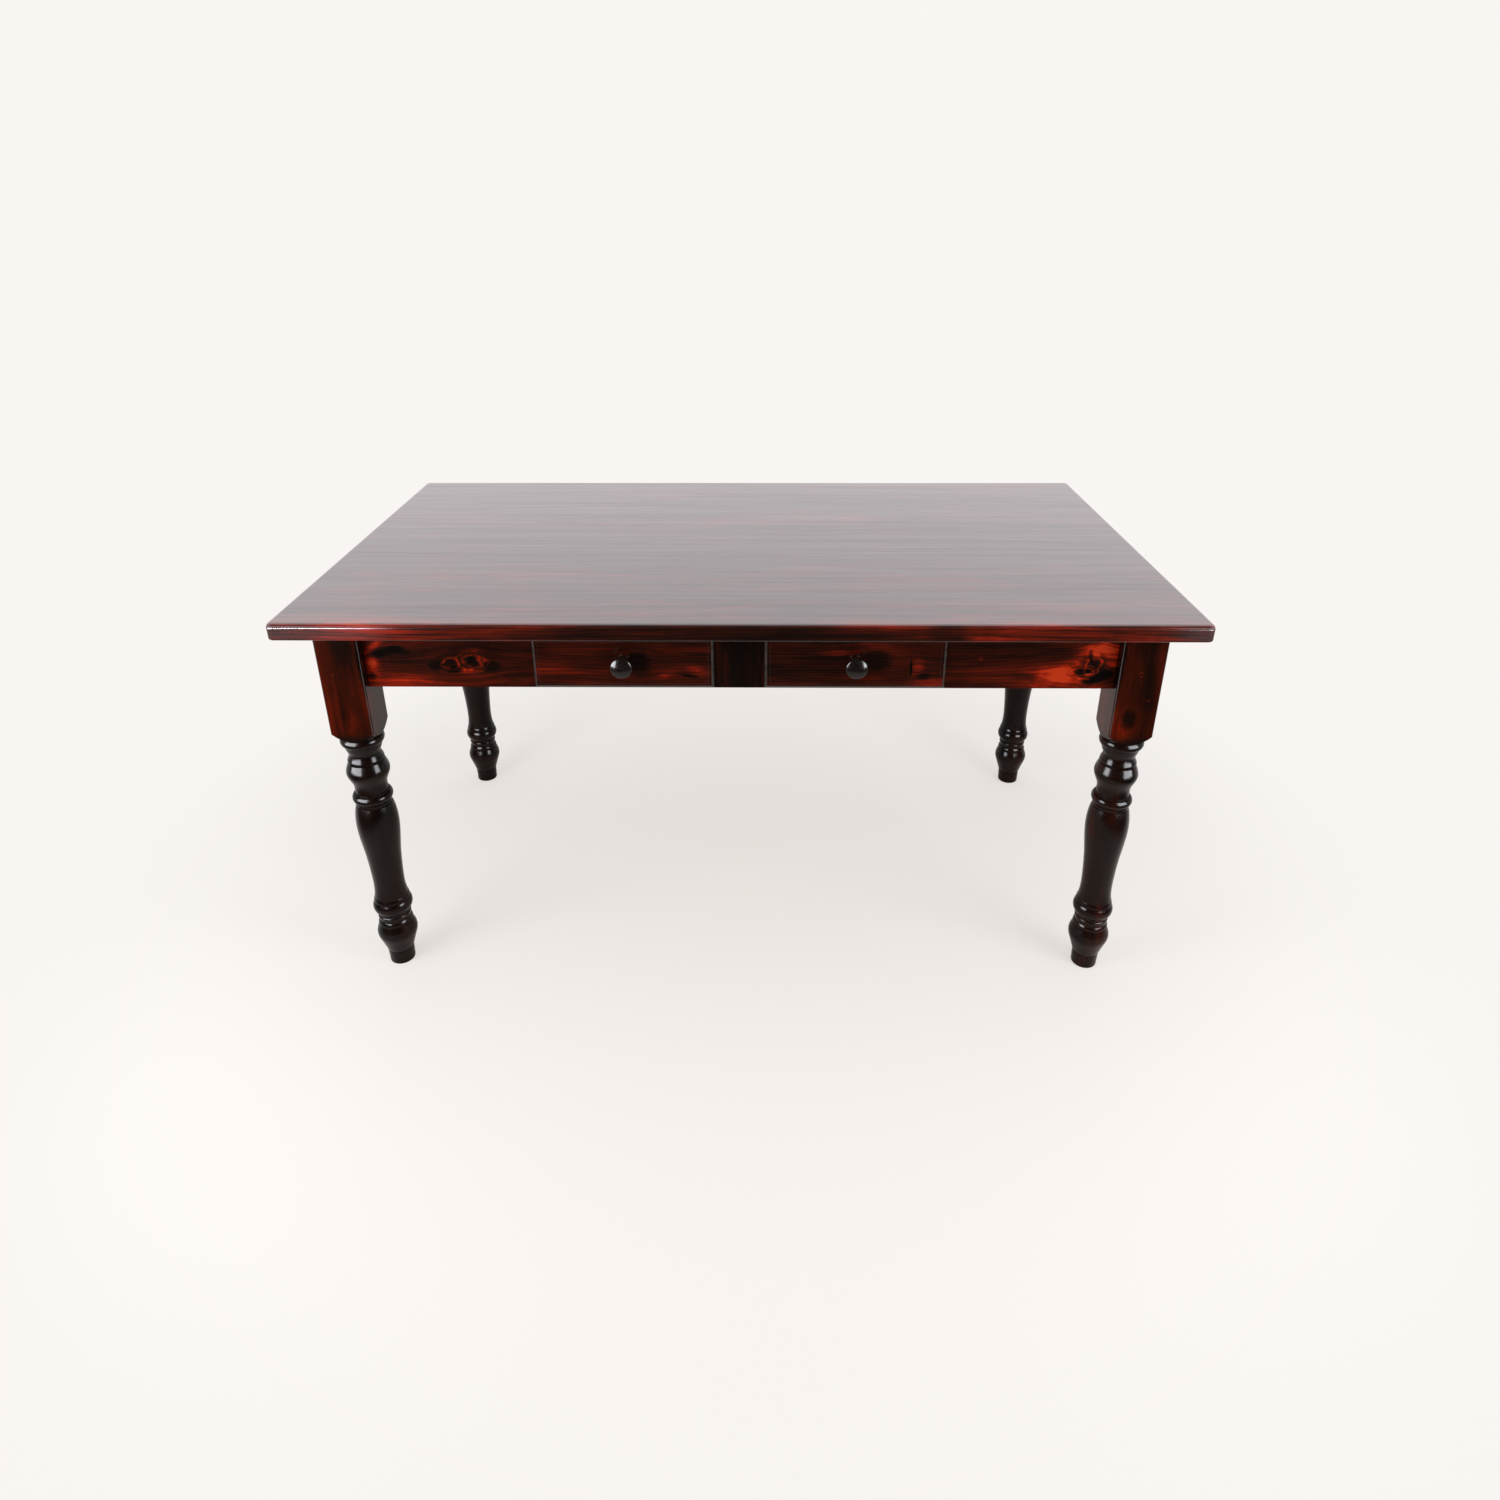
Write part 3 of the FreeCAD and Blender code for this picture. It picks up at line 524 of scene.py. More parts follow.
def plywood(name):
    recipe = Recipe(name)
    along, across, into = grain_axes(recipe, "flat")
    place = in_trunk(recipe, along, across, into, ply_seed)
    cloud = recipe.noise(place, lumps=(6.0, 55.0, 55.0), detail=3.0, warp=1.2)
    fibre = recipe.noise(place, lumps=(40.0, 800.0, 800.0), detail=2.0)
    tone = recipe.total(PLY_FIGURE, cloud=cloud, fibre=fibre)
    recipe.bump(fibre, ply_relief_depth)
    return recipe.finish(Base_Color=recipe.ramp(tone, PLY_RAMP), Roughness=0.5)


ply = plywood("drawer_plywood")
print("plywood", ply.name)

# %% [markdown]
# ## Plated steel and other clouded finishes
# The screws, bolts and washers are zinc plated. Plating, worn edges and the knobs' lacquer
# have no grain. They could each be one colour, but handling leaves soft clouds on them. One
# function does all three: a noise picks between two colours and changes the gloss with it.

# %% Clouded finishes
ramp_start = 0.5


def clouded(name, lumps, colours, gloss, depth, relief_lumps=None, **shader):
    """A finish that drifts between the colours of a ramp, with relief to match."""
    recipe = Recipe(name)
    place = recipe.here()
    cloud = recipe.noise(place, lumps, detail=4.0)
    relief = recipe.noise(place, relief_lumps, detail=2.0) if relief_lumps else cloud
    recipe.bump(relief, depth)
    return recipe.finish(Base_Color=recipe.ramp(recipe.add(ramp_start, cloud), colours),
                         Roughness=recipe.total(gloss, cloud=cloud), **shader)


plated = clouded("zinc_plate", lumps=(300.0, 300.0, 300.0),
                 colours=((0.0, (0.42, 0.41, 0.38, 1)), (1.0, (0.72, 0.72, 0.70, 1))),
                 gloss={"start": 0.34, "cloud": 0.3}, depth=0.00004, Metallic=1.0)
print("plating", plated.name)

# %% [markdown]
# ## Laying a finish on a piece
# A board is lacquered where it shows and bare where it doesn't. It could be cut into two
# pieces, but a mesh can hold several materials, and each face says which one it takes. The
# faces are picked by where they lie and the way they look, so the shapes stay exactly as they
# came.

# %% Laying a finish
def lay(name, finish, *others):
    """Gives a piece its finish, and others on the faces that qualify for them."""
    mesh = nodes[name].data
    mesh.materials.clear()
    mesh.materials.append(finish)
    for other, _ in others:
        mesh.materials.append(other)
    for face in mesh.polygons:
        face.material_index = 0
        for slot, (_, qualifies) in enumerate(others, 1):
            if qualifies(face.center, face.normal):
                face.material_index = slot


print("lay ready")

# %% [markdown]
# ## The top
# The top has the thickest lacquer on the table. Seen at a low angle it mirrors the pale room,
# which turns the red-brown wood mauve-grey. A paler stain would give that colour too, but
# wrongly from above. A clear coat with a raised index gives the veil at glancing angles and
# keeps the true colour below it. The coat follows the grain in long shallow ripples, which
# break the mirror into streaks. On the boards' outer edges the lacquer was rubbed thin,
# so they show the wood's full red.

# %% Finishes of the top
TOP_FIGURE = dict(PINE_FIGURE, broad=0.6, blotch=0.6, streak=0.8)
FACE_RELIEF = {"swell": 2.6, "ripple": 0.7, "line": 0.28, "fibre": 0.02}
FACE_GLOSS = {"start": 0.22, "scuff": 0.12}
face_relief_depth = 0.0008
EDGE_RELIEF = {"fibre": 0.2, "wave": 1.5}
EDGE_GLOSS = {"start": 0.15, "scuff": 0.08}
edge_relief_depth = 0.00008


def top_face(name, seed, tone, knots, heart):
    recipe = Recipe(name)
    tone, parts, place = stain_tone(recipe, "flat", seed, tone, knots, heart, TOP_FIGURE)
    ripple = recipe.noise(place, lumps=(2.2, 30.0, 30.0), detail=4.0, warp=0.4)
    line = recipe.noise(place, lumps=(4.0, 90.0, 90.0), detail=3.0)
    swell = recipe.noise(place, lumps=(1.1, 8.0, 8.0), detail=2.0)
    recipe.bump(recipe.total(FACE_RELIEF, swell=swell, ripple=ripple, line=line,
                             fibre=parts["fibre"]),
                face_relief_depth, ("Normal", "Coat Normal"))
    scuff = recipe.noise(place, lumps=(5.0, 30.0, 30.0), detail=4.0)
    return recipe.finish(Base_Color=stain_colour(recipe, tone),
                         Roughness=recipe.total(FACE_GLOSS, scuff=scuff),
                         Coat_Weight=1.0, Coat_IOR=2.05, Coat_Roughness=0.07)


def top_edge(name, seed, tone, knots, heart):
    recipe = Recipe(name)
    tone, parts, place = stain_tone(recipe, "flat", seed, tone, knots, heart, TOP_FIGURE)
    wave = recipe.noise(place, lumps=(14.0, 26.0, 26.0), detail=2.0)
    recipe.bump(recipe.total(EDGE_RELIEF, fibre=parts["fibre"], wave=wave), edge_relief_depth)
    scuff = recipe.noise(place, lumps=(9.0, 60.0, 60.0), detail=4.0)
    return recipe.finish(Base_Color=stain_colour(recipe, tone),
                         Roughness=recipe.total(EDGE_GLOSS, scuff=scuff),
                         Specular_IOR_Level=0.14, Coat_Weight=0.3, Coat_IOR=1.8,
                         Coat_Roughness=0.15)


print("ripples of the top", face_relief_depth * 1000, "mm")

# %% Marks on the top boards
# Each mark: profile, then along, across, length and height in metres, strength, flow, slant.
front_marks = (
    Knot(FLAME, -0.56, -0.436, 0.17, 0.026, 0.60),
    Knot(BURL_AND_SHADE, 0.02, -0.436, 0.12, 0.030, 0.28),
    Knot(FLAME, 0.47, -0.436, 0.11, 0.024, 0.52),
    Knot(BURL_AND_SHADE, 0.335, -0.434, 0.030, 0.014, 0.35),
    Knot(FLAME, 0.70, -0.436, 0.07, 0.022, 0.35),
    Knot(BURL_AND_SHADE, -0.10, -0.31, 0.70, 0.018, 0.25, 0.0),
)
second_marks = (
    Knot(FLAME, -0.50, -0.20, 0.25, 0.045, 0.12, 0.0),
    Knot(FLAME, 0.45, -0.22, 0.28, 0.05, 0.15, 0.0),
    Knot(BURL_AND_SHADE, -0.76, -0.21, 0.06, 0.06, 0.40, 0.0),
)
fourth_marks = (
    Knot(FLAME, 0.14, 0.135, 0.22, 0.035, 0.50, 0.0),
    Knot(FLAME, -0.60, 0.135, 0.07, 0.030, 0.40, 0.0),
    Knot(FLAME, 0.70, 0.14, 0.08, 0.035, 0.40, 0.0),
)
fifth_marks = fourth_marks + (
    Knot(EYE, -0.01, 0.222, 0.016, 0.008, 0.9),
    Knot(BURL_AND_SHADE, 0.30, 0.255, 0.40, 0.020, 0.30, 0.0),
)
back_marks = (Knot(FLAME, 0.60, 0.385, 0.30, 0.024, 0.35, 0.0),)
top_boards = ((0.56, front_marks), (0.52, second_marks), (0.44, ()), (0.45, fourth_marks),
              (0.46, fifth_marks), (0.50, back_marks))
print("marks on the top", sum(len(marks) for _, marks in top_boards))

# %% [markdown]
# ## Six boards
# A top this wide is glued up from boards, and each took the stain a little differently. One
# sheet of grain across all six would hide that, so each board has its own tone and trunk.
# The edge finish goes on every face that stands steeply. It is a shade darker than the
# board's own tone, because no pale sheen covers it there and it would look too red.

# %% Lay the top
board_low, board_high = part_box("top_board_1")
board_width = board_high.y - board_low.y
heart_board = 2.6
edge_darker = 0.10
facing = 0.9
steep = 0.35


def is_underside(centre, normal):
    return normal.z < -facing


def is_edge(centre, normal):
    return -facing < normal.z < steep


for number, (tone, marks) in enumerate(top_boards, 1):
    heart = board_width * (number - heart_board)
    lay(f"top_board_{number}",
        top_face(f"top_stain_{number}", number, tone, marks, heart),
        (bare["flat"], is_underside),
        (top_edge(f"edge_stain_{number}", number, tone - edge_darker, marks, heart), is_edge))
print("top boards", len(top_boards))

# %% [markdown]
# ## The front panels
# The two end panels carry the showpieces of the front: knots with orange halos. One round
# knot would look stamped on. Each of these is built up from several marks, dark ones for the
# cores and glowing ones for the resin round them. Their rough places were read from the
# photograph and turned into metres on the apron.

# %% Knots of the left panel
left_knots = (
    Knot(BURL_AND_SHADE, -0.604, 0.679, 0.027, 0.008, 0.9, 0.6, 16),
    Knot(BURL_AND_SHADE, -0.581, 0.682, 0.018, 0.007, 0.8, 0.3, -10),
    Knot(FLAME, -0.623, 0.690, 0.017, 0.0045, 1.3, 0.3, 36),
    Knot(FLAME, -0.629, 0.656, 0.0080, 0.0140, 1.7, 0.4),
    Knot(BURL_AND_SHADE, -0.632, 0.634, 0.007, 0.006, 0.7, 0.3),
    Knot(FLAME, -0.600, 0.619, 0.060, 0.008, 0.9, 0.0),
    Knot(FLAME, -0.565, 0.630, 0.030, 0.006, 0.5, 0.0),
    Knot(LOOP, -0.493, 0.657, 0.018, 0.014, 1.0, 0.8),
    Knot(BURL_AND_SHADE, -0.488, 0.647, 0.011, 0.006, 0.9, 0.3),
    Knot(BURL_AND_SHADE, -0.521, 0.654, 0.012, 0.010, 0.5, 0.3),
    Knot(EYE, -0.457, 0.661, 0.027, 0.018, 1.0, 1.0),
    Knot(FLAME, -0.469, 0.645, 0.012, 0.0040, 1.1, 0.0),
    Knot(FLAME, -0.437, 0.664, 0.0060, 0.0060, 0.7, 0.0),
    Knot(FLAME, -0.451, 0.684, 0.014, 0.0050, 0.5, 0.2),
    Knot(BURL_AND_SHADE, -0.424, 0.651, 0.014, 0.009, 0.6, 0.3),
    Knot(FLAME, -0.441, 0.631, 0.030, 0.006, 0.6, 0.0),
    Knot(FLAME, -0.4104, 0.6328, 0.0015, 0.0012, 1.4, 0.0),
)
print("marks on the left panel", len(left_knots))

# %% Knots of the right panel
right_knots = (
    Knot(FLAME, 0.545, 0.639, 0.030, 0.013, 1.25, 0.5),
    Knot(FLAME, 0.572, 0.662, 0.038, 0.010, 1.2, 0.5, 33),
    Knot(FLAME, 0.570, 0.623, 0.034, 0.009, 1.1, 0.4, -12),
    Knot(EYE, 0.584, 0.645, 0.026, 0.012, 1.2, 0.8, -4),
    Knot(LOOP, 0.600, 0.656, 0.017, 0.024, 1.2, 0.6, -12),
    Knot(BURL_AND_SHADE, 0.5955, 0.673, 0.004, 0.011, 1.3, 0.6, 8),
    Knot(FLAME, 0.620, 0.687, 0.030, 0.013, 1.2, 0.3),
    Knot(FLAME, 0.634, 0.664, 0.010, 0.014, 1.0, 0.3),
    Knot(BURL_AND_SHADE, 0.614, 0.635, 0.026, 0.008, 1.3, 0.4, 27),
    Knot(FLAME, 0.626, 0.620, 0.020, 0.006, 0.5, 0.0),
    Knot(FLAME, 0.565, 0.694, 0.050, 0.006, 0.5, 0.0),
    Knot(FLAME, 0.520, 0.619, 0.030, 0.006, 0.6, 0.0),
    Knot(FLAME, 0.4096, 0.6690, 0.0032, 0.0024, 0.7, 0.0),
)
print("marks on the right panel", len(right_knots))

# %% Lay the front
STILE_FIGURE = dict(PINE_FIGURE, broad=0.3, blotch=0.3)


def is_back(centre, normal):
    return normal.y > facing


inside_front = (bare["long"], is_back)
front = {
    "front_panel_left": stained_pine("panel_left", "long", seed=11, tone=0.49,
                                     knots=left_knots),
    "front_panel_right": stained_pine("panel_right", "long", seed=12, tone=0.42,
                                      knots=right_knots),
    "front_centre_stile": stained_pine("centre_stile", "upright", seed=13, tone=0.26,
                                       figure=STILE_FIGURE),
}
rail_stain = stained_pine("rails", "long", seed=14, tone=0.30)
front.update({name: rail_stain for name in nodes if "_rail_" in name})
for name, finish in front.items():
    lay(name, finish, inside_front)
print("front pieces", len(front))

# %% [markdown]
# ## Grey edges
# The rounded lips of the drawers show as thin grey lines, where they mirror the pale room.
# Here that sheen is painted into the colour. A mask from the mesh's own curvature could find
# such edges by itself, but here they are a few known faces, so one grey, dull, clouded
# finish, a painted sheen, is made for them and laid where they are.

# %% Painted edge sheen
# Painted sheen: the grey base colours stand for the pale room mirrored in rounded edges.
painted_edge_sheen = clouded("painted_edge_sheen", lumps=(40.0, 90.0, 90.0),
                   colours=((0.25, (0.022, 0.018, 0.015, 1)), (0.75, (0.052, 0.044, 0.039, 1))),
                   gloss={"start": 0.30, "cloud": 0.2}, depth=0.0001, Specular_IOR_Level=0.40)
print("painted sheen finish", painted_edge_sheen.name)

# %% [markdown]
# ## The drawer fronts
# Each front has a raised field inside a rounded lip. A thin grey line could be drawn round
# both in the stain, but it would slip off the edge. The step and the lip are real faces of
# the mesh, so they take the painted grey sheen. They are found by their place and their slant:
# they lie before the opening and don't look straight forward. A dark patch to the right of
# each knob is its painted shadow.

# %% Marks and painted knob shadows on the drawer fronts
left_drawer_marks_and_knob_shadow = (
    Knot(FLAME, -0.124, 0.642, 0.010, 0.004, 0.55, 0.5, 20),
    Knot(FLAME, -0.070, 0.650, 0.013, 0.005, 0.65, 0.5, -15),
    Knot(FLAME, -0.115, 0.686, 0.070, 0.004, 0.35, 0.0),
    Knot(FLAME, -0.300, 0.650, 0.060, 0.010, 0.25, 0.2),
    # Painted shadow of the knob, on its right.
    Knot(BURL_AND_SHADE, -0.172, 0.664, 0.018, 0.022, 0.50, 0.5),
    Knot(BURL_AND_SHADE, -0.085, 0.640, 0.016, 0.003, 0.7, 0.3, -10),
)
right_drawer_marks_and_knob_shadow = (
    Knot(FLAME, 0.303, 0.654, 0.008, 0.013, 0.70, 0.4),
    Knot(BURL_AND_SHADE, 0.291, 0.656, 0.0022, 0.016, 0.9, 0.3),
    Knot(FLAME, 0.325, 0.628, 0.024, 0.008, 0.7, 0.0),
    Knot(FLAME, 0.224, 0.696, 0.018, 0.006, 0.5, 0.3),
    Knot(FLAME, 0.165, 0.683, 0.022, 0.008, 0.5, 0.3),
    # Painted shadow of the knob, on its right.
    Knot(BURL_AND_SHADE, 0.232, 0.666, 0.022, 0.020, 0.50, 0.5),
    Knot(BURL_AND_SHADE, 0.312, 0.640, 0.012, 0.006, 0.7, 0.4),
)
print("marks on the drawers", len(left_drawer_marks_and_knob_shadow) + len(right_drawer_marks_and_knob_shadow))

# %% Lay the drawer fronts
lip_margin = 0.0015
lip_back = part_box("front_panel_left")[0].y - lip_margin
slanting = 0.96
drawer_fronts = (("left", 21, 0.47, left_drawer_marks_and_knob_shadow), ("right", 22, 0.45, right_drawer_marks_and_knob_shadow))


def is_lip(centre, normal):
    return centre.y < lip_back and abs(normal.y) < slanting


# The lip faces take the painted grey sheen.
for side, seed, tone, marks in drawer_fronts:
    lay(f"{side}_drawer_front",
        stained_pine(f"{side}_drawer_stain", "long", seed, tone, marks),
        inside_front, (painted_edge_sheen, is_lip))
print("drawer fronts", len(drawer_fronts))

# %% [markdown]
# ## The side and back aprons
# The other three aprons are plain boards. They could copy the front's finish, but the grain
# of the sides runs the other way, so they get the side grain and trunks of their own, and
# stay bare on the faces that look inwards.

# %% Side and back aprons
apron_seed = 30
side_aprons = {"left": -1, "right": 1}


def looks_in(outward):
    """A test for the inner faces of the side apron whose outer face looks along X."""
    return lambda centre, normal: normal.x * outward < -facing


def is_back_apron_inside(centre, normal):
    return normal.y < -facing


for side, outward in side_aprons.items():
    lay(f"side_apron_{side}",
        stained_pine(f"side_apron_{side}", "side", seed=apron_seed + outward, tone=0.40),
        (bare["side"], looks_in(outward)))
lay("back_apron", stained_pine("back_apron", "long", seed=33, tone=0.42),
    (bare["long"], is_back_apron_inside))
print("aprons", len(side_aprons) + 1)

# %% [markdown]
# ## The legs
# The square block keeps the reddish stain, while the turning below it is nearly black: the
# lathe opens end grain, which drinks more stain. Two pieces with two finishes would show a
# seam, so one material serves both, and its tone falls at the height where the square
# ends. Two places differ. The front faces of the front blocks are rubbed duller, and the
# arrises beside them take the painted grey sheen of the drawers' lips. A dark strip on the
# inner side of each front block paints the shade in the recess beside the apron.

# %% Leg finish
LEG_FIGURE = dict(PINE_FIGURE, broad=0.75, blotch=0.75, streak=0.14, ring=-0.05)
LEG_RELIEF = {"fibre": 0.4, "wave": 2.5}
LEG_GLOSS = {"start": 0.13, "turned": 0.06, "scuff": 0.10}
leg_relief_depth = 0.00005
leg_heart = 0.4
turned_darker = -0.27
block_low = 0.531
shoulder_low = 0.513


def leg_finish(name, seed, tone, knots, mirror):
    recipe = Recipe(name)
    tone, parts, place = stain_tone(recipe, "upright", seed, tone, knots, leg_heart,
                                    LEG_FIGURE)
    height = recipe.axes(recipe.here())["Z"]
    turned = recipe.spread(height, block_low, shoulder_low)
    tone = recipe.add(tone, recipe.times(turned, turned_darker))
    wave = recipe.noise(place, lumps=(22.0, 30.0, 30.0), detail=2.0)
    recipe.bump(recipe.total(LEG_RELIEF, fibre=parts["fibre"], wave=wave), leg_relief_depth)
    scuff = recipe.noise(place, lumps=(30.0, 60.0, 60.0), detail=3.0)
    return recipe.finish(Base_Color=stain_colour(recipe, tone),
                         Roughness=recipe.total(LEG_GLOSS, turned=turned, scuff=scuff),
                         Specular_IOR_Level=mirror)


print("the turning starts at", block_low, "m")

# %% Marks and painted shade on the front blocks
collar_proud = 0.0003
block_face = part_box("leg_front_left")[0].y + collar_proud
mark_depth = 0.010


def on_face(profile, along, across, length, height, strength, flow=0.0):
    """A mark that shows on the front face of a block and not on its sides."""
    return Knot(profile, along, across, length, height, strength, flow,
                into=block_face, depth=mark_depth)


left_block_marks_and_shade = (
    on_face(FLAME, 0.653, -0.679, 0.0016, 0.0016, 0.35),
    on_face(FLAME, 0.645, -0.691, 0.0016, 0.0016, 0.35),
    on_face(BURL_AND_SHADE, 0.700, -0.662, 0.055, 0.020, 0.35, 0.3),
    # Painted shade on the block's inner side, in the recess beside the apron.
    Knot(BURL_AND_SHADE, 0.665, -0.640, 0.050, 0.006, 0.8, 0.0),
    on_face(FLAME, 0.570, -0.690, 0.050, 0.016, 0.30),
)
right_block_marks_and_shade = (
    on_face(LOOP, 0.649, 0.677, 0.0055, 0.0055, 1.0),
    # Painted shade on the block's inner side, in the recess beside the apron.
    Knot(BURL_AND_SHADE, 0.665, 0.640, 0.050, 0.006, 0.8, 0.0),
    on_face(FLAME, 0.600, 0.695, 0.0014, 0.0030, 0.9),
    on_face(BURL_AND_SHADE, 0.563, 0.669, 0.018, 0.012, 0.6, 0.5),
    on_face(FLAME, 0.546, 0.655, 0.022, 0.012, 0.5, 0.3),
)
print("marks on the blocks", len(left_block_marks_and_shade) + len(right_block_marks_and_shade))

# %% Lay the legs
arris_depth = 0.004
block_front = block_face + arris_depth
arris_slant = (0.5, 0.8)
leg_mirror = 0.13
block_mirror = 0.025
first_leg_seed = 41
legs = (("front_left", 0.42, left_block_marks_and_shade), ("front_right", 0.46, right_block_marks_and_shade),
        ("back_left", 0.40, ()), ("back_right", 0.40, ()))


def is_front_of_block(centre):
    """Only the front legs have faces this far forward."""
    return centre.z > block_low and centre.y < block_front


def is_front_arris(centre, normal):
    return is_front_of_block(centre) and arris_slant[0] < abs(normal.x) < arris_slant[1]


def is_block_face(centre, normal):
    return is_front_of_block(centre) and normal.y < -facing


# The front arrises take the painted grey sheen.
for seed, (name, tone, marks) in enumerate(legs, first_leg_seed):
    lay(f"leg_{name}", leg_finish(f"leg_{name}_stain", seed, tone, marks, leg_mirror),
        (painted_edge_sheen, is_front_arris),
        (leg_finish(f"block_{name}_stain", seed, tone, marks, block_mirror), is_block_face))
print("legs", len(legs))

# %% [markdown]
# ## The knobs
# The knobs are darker and duller than the wood around them: a satin, almost black lacquer
# over turned wood, rubbed a little lighter by hands. The stain recipe would put grain on
# them that nobody can see, so they take the clouded finish.

# %% Knobs
knob_lacquer = clouded("knob_lacquer", lumps=(90.0, 90.0, 90.0),
                       colours=((0.25, (0.004, 0.0025, 0.002, 1)),
                                (0.75, (0.014, 0.009, 0.007, 1))),
                       gloss={"start": 0.19, "cloud": 0.06}, depth=0.00002,
                       relief_lumps=(120.0, 120.0, 120.0), Specular_IOR_Level=0.24)
knobs = ("left_drawer_knob", "right_drawer_knob")
for name in knobs:
    lay(name, knob_lacquer)
print("knobs", len(knobs))

# %% [markdown]
# ## The hidden pieces
# Inside are the drawer boxes, their runners and kickers, the blocks and buttons, and all the
# screws. Each could be listed by itself, but the names already say what they are, so the
# finish is picked by a part of the name.

# %% Hidden pieces
def hidden_finish(name):
    """The finish of a piece inside the table, or nothing for a piece that shows."""
    if name.endswith(("_side_left", "_side_right")) or "_runner_" in name or "_kicker" in name:
        return bare["side"]
    if name.startswith("corner_block") or name.endswith(("_drawer_back", "_buttons", "_stops")):
        return bare["long"]
    if name.endswith("_drawer_bottom"):
        return ply
    if name.endswith(("_screw", "_screws", "_bolts", "_nuts", "_washers")):
        return plated
    return None


hidden = [name for name in nodes if hidden_finish(name)]
for name in hidden:
    lay(name, hidden_finish(name))
print("hidden pieces", len(hidden))

# %% [markdown]
# ## The floor
# In the photograph the table stands on an endless white ground. A huge plane would show a
# horizon, so the floor is a round pale sheet that fades out before its edge. It
# keeps the table's soft shadow. To the camera it also glows a little, which lifts it to
# the white of the backdrop without throwing more light on the table.

# %% Floor
floor_radius = 1.6
floor_rim = 0.05
floor_fade = 0.95
floor_sides = 96
floor_glow = 0.60
paper_colour = (0.90, 0.875, 0.85, 1)
watched_colour = (0.36, 0.35, 0.34, 1)
backdrop_colour = (0.947, 0.913, 0.887, 1)

angles = [2 * math.pi * side / floor_sides for side in range(floor_sides)]
rim = [(floor_radius * math.cos(angle), floor_radius * math.sin(angle), 0.0)
       for angle in angles]
floor_mesh = bpy.data.meshes.new("floor")
floor_mesh.from_pydata(rim, [], [list(range(floor_sides))])
floor = bpy.data.objects.new("floor", floor_mesh)
bpy.context.scene.collection.objects.link(floor)

paper = Recipe("floor_paper")
length = paper.new("VectorMath", operation="LENGTH")
paper.feed(length.inputs[0], paper.here())
distance = length.outputs["Value"]
watched = paper.node("LightPath", output="Is Camera Ray")
paper.finish(Base_Color=paper.blend(watched, paper_colour, watched_colour), Roughness=1.0,
             Specular_IOR_Level=0.0, Emission_Color=backdrop_colour,
             Emission_Strength=paper.times(watched, floor_glow),
             Alpha=paper.spread(distance, floor_radius - floor_rim, floor_fade))
floor_mesh.materials.append(paper.material)
print("floor radius", floor_radius, "m")

# %% [markdown]
# ## The room
# The room is white behind the table and dim on the photographer's side, as a product studio
# is: that is what puts the pale sheen on the top and leaves the front dark. A photograph of
# a room could light the table, but a few colours that are told apart by the kind of ray
# are easier to tune. The camera sees the backdrop, polished wood mirrors the room, and
# everything else gets an even grey light.

# %% Room
sheen_colour = (1.0, 0.955, 0.985, 1)
dim_colour = (0.03, 0.03, 0.03, 1)
ambient_colour = (0.60, 0.585, 0.575, 1)
room_turn = 0.35

world = bpy.data.worlds.new("studio")
bpy.context.scene.world = world
world.use_nodes = True
world.node_tree.nodes.clear()
room = NodePatterns(world.node_tree)
backwards = room.axes(room.node("TexCoord", output="Generated"))["Y"]
white_share = room.spread(backwards, -room_turn, room_turn)
mirror_image = room.blend(white_share, dim_colour, sheen_colour)
ray = room.new("LightPath").outputs
mirrored = room.maths("ADD", ray["Is Glossy Ray"], ray["Is Transmission Ray"], clamp=True)
seen = room.blend(mirrored, ambient_colour, mirror_image)
seen = room.blend(ray["Is Camera Ray"], seen, backdrop_colour)
output = room.new("OutputWorld")
room.feed(output.inputs["Surface"], room.node("Background", Color=seen, Strength=1.0))
print("room nodes", len(world.node_tree.nodes))

# %% [markdown]
# ## The lamps
# Two tall soft boxes stand left and right of the camera. One bare bulb would be simpler, but
# it throws hard shadows. These give a wide gentle light for the wood's colour and show in
# no mirror. The bright patches on the beads, the knobs and the edges come from a second
# set that only polished surfaces catch, so the highlights are crisp and the stain isn't
# bleached.

# %% Soft boxes
def soft_box(name, place, target, width, height, power, receivers=None):
    """A rectangular lamp that looks at a target and lights all pieces or only some."""
    data = bpy.data.lights.new(name, "AREA")
    data.shape = "RECTANGLE"
    data.size = width
    data.size_y = height
    data.energy = power
    lamp = bpy.data.objects.new(name, data)
    lamp.location = place
    lamp.rotation_euler = (Vector(target) - Vector(place)).to_track_quat("-Z", "Y").to_euler()
    lamp.visible_camera = False
    lamp.light_linking.receiver_collection = receivers
    bpy.context.scene.collection.objects.link(lamp)
    return lamp


box_places = {"left": Vector((-1.38, -1.10, 1.0)), "right": Vector((1.52, -1.15, 1.0))}
box_aim = (0, 0, 0.75)
box_width = 0.8
box_tall = 1.15
box_power = 12
for side, place in box_places.items():
    lamp = soft_box(f"soft_box_{side}", place, box_aim, box_width, box_tall, box_power)
    lamp.visible_glossy = False
print("soft boxes", sorted(box_places))

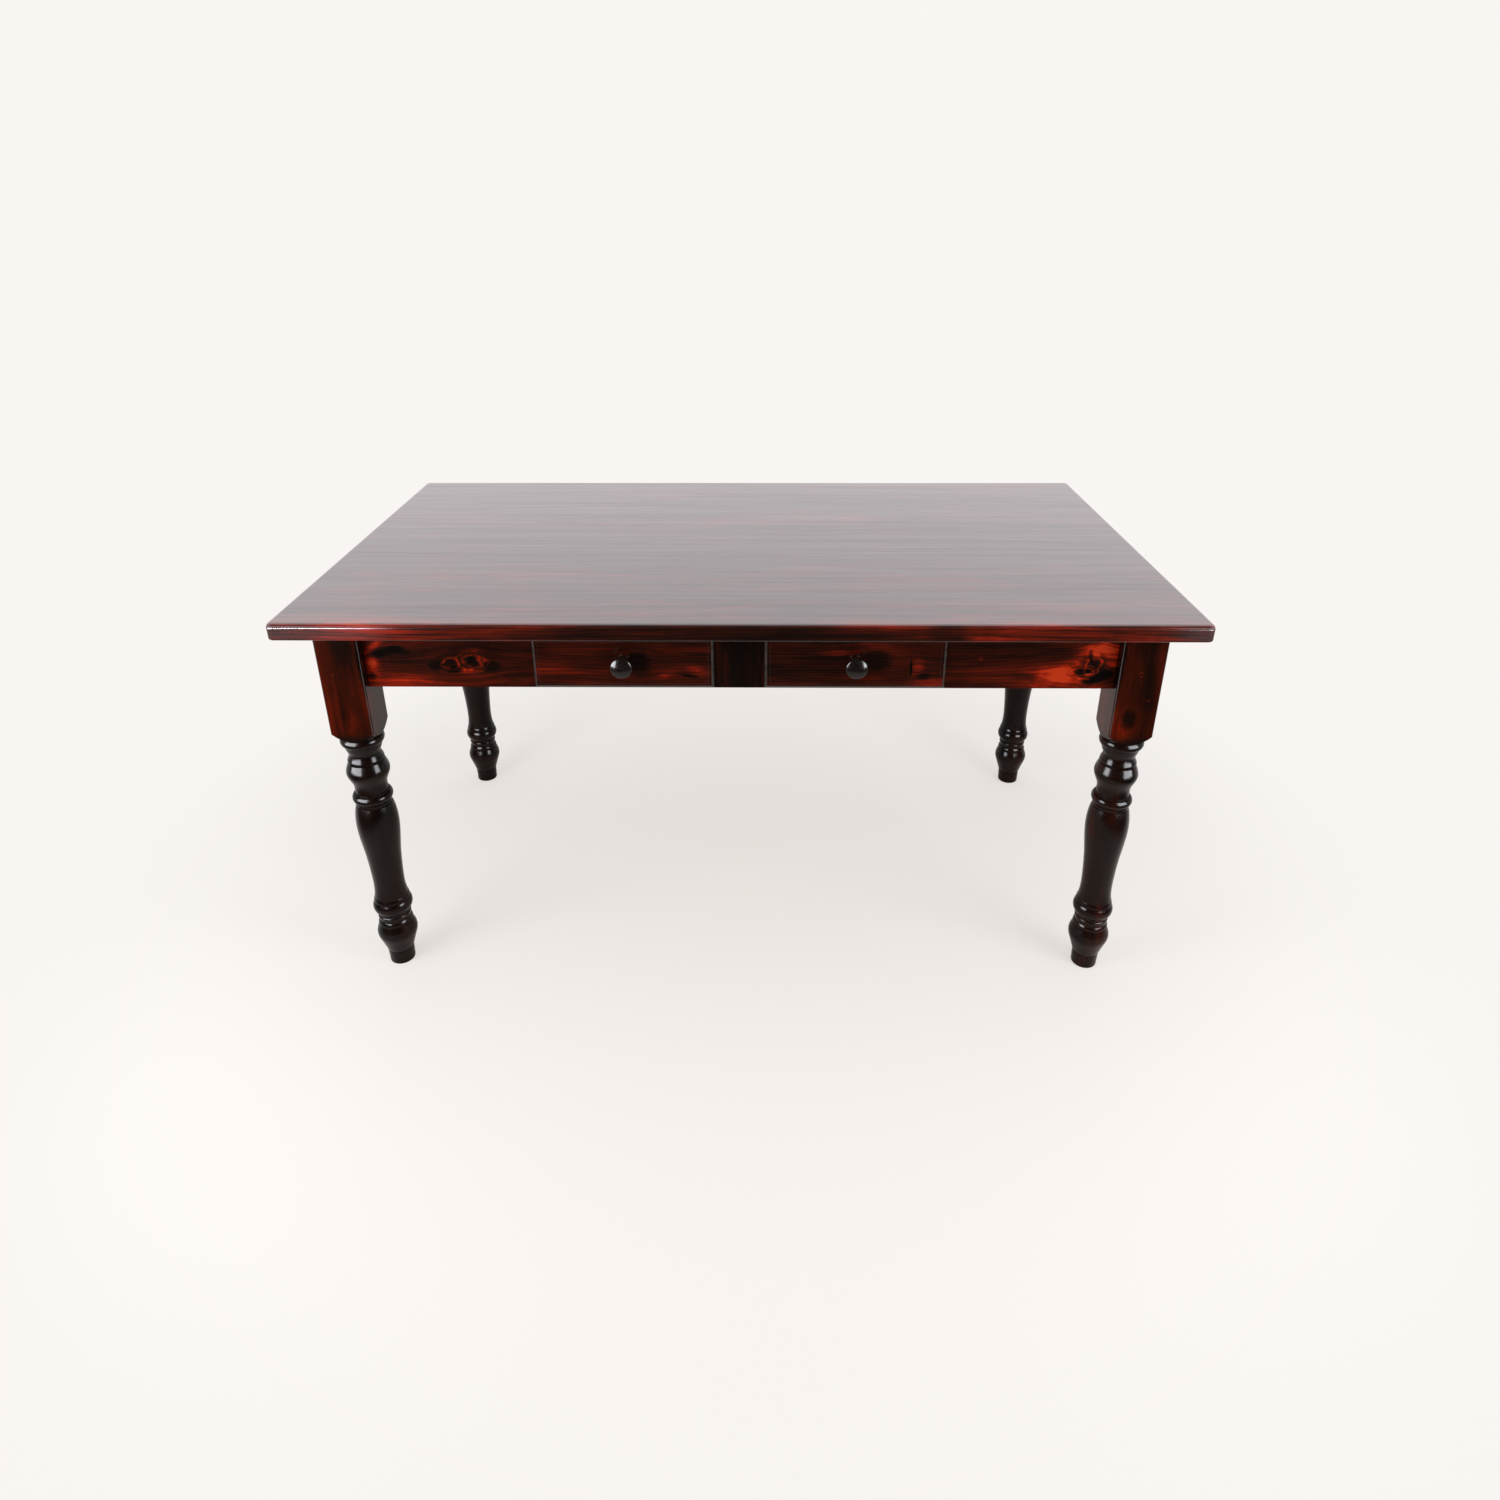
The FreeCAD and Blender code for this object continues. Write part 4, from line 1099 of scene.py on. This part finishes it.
# %% [markdown]
# ## Boxes that only show as reflections
# A photographer keeps a strong box off a table top with a black flag, because the top would
# mirror it as a white slab. Light linking is the same flag: it says which pieces a lamp
# reaches. One strong pair for all would burn out the broad faces, so each kind of piece has
# its own. The boards of the top have a tall pair that is very weak, and a low narrow pair
# that stands below the face of the top, where only the edges can mirror it. The turned
# pieces have the strongest pair, and the flat pieces a weak one. The left box of the low
# pair is the stronger, for the white line at that end of the edge in the photograph. Two
# lamps in one plane hide each other, so each pair stands a little nearer than the last.

# %% Boxes that only show as reflections
GLOSS_BOXES = (
    {"group": "boards", "height": 0.85, "tall": 1.40, "powers": (4, 4)},
    {"group": "boards", "height": 0.695, "tall": 0.10, "powers": (28, 8)},
    {"group": "turned", "height": 0.96, "tall": 1.10, "powers": (130, 100)},
    {"group": "flat", "height": 0.96, "tall": 1.10, "powers": (16, 16)},
)
gloss_widths = {"left": 1.0, "right": 0.9}
box_nearer = 0.96
box_step = 0.02
cool_white = (0.93, 0.95, 1.0)


def box_group(name):
    """The kind of piece, for the pair of boxes that it mirrors."""
    if name.startswith("top_board"):
        return "boards"
    return "turned" if name.startswith("leg_") or name.endswith("_knob") else "flat"


receivers = {box["group"]: bpy.data.collections.new(box["group"]) for box in GLOSS_BOXES}
for name, piece in nodes.items():
    receivers[box_group(name)].objects.link(piece)
for number, box in enumerate(GLOSS_BOXES):
    for (side, place), power in zip(box_places.items(), box["powers"]):
        spot = place * (box_nearer - box_step * number)
        lamp = soft_box(f"gloss_box_{number}_{side}", (spot.x, spot.y, box["height"]),
                        (0, 0, box["height"]), gloss_widths[side], box["tall"], power,
                        receivers[box["group"]])
        lamp.visible_diffuse = False
        lamp.data.color = cool_white
print("mirrored boxes", 2 * len(GLOSS_BOXES))

# %% [markdown]
# ## The ceiling
# A white ceiling throws the light back down in a real studio. The room's even grey could be
# raised instead, but that would fill the shadow under the table too. One wide lamp above
# draws that shadow softly. Like the soft boxes, it shows in no mirror.

# %% Ceiling
ceiling_height = 3.0
ceiling_size = 2.5
ceiling_power = 22
ceiling = soft_box("ceiling", (0, 0, ceiling_height), (0, 0, 0), ceiling_size, ceiling_size,
                   ceiling_power)
ceiling.visible_glossy = False
print("lamps", len(bpy.data.lights))

# %% [markdown]
# ## Colours
# Blender's default view softens bright colours as film does. A finish should come out
# as it was written, so the plain view is used.

# %% Colours
bpy.context.scene.view_settings.view_transform = "Standard"
print("view", bpy.context.scene.view_settings.view_transform)
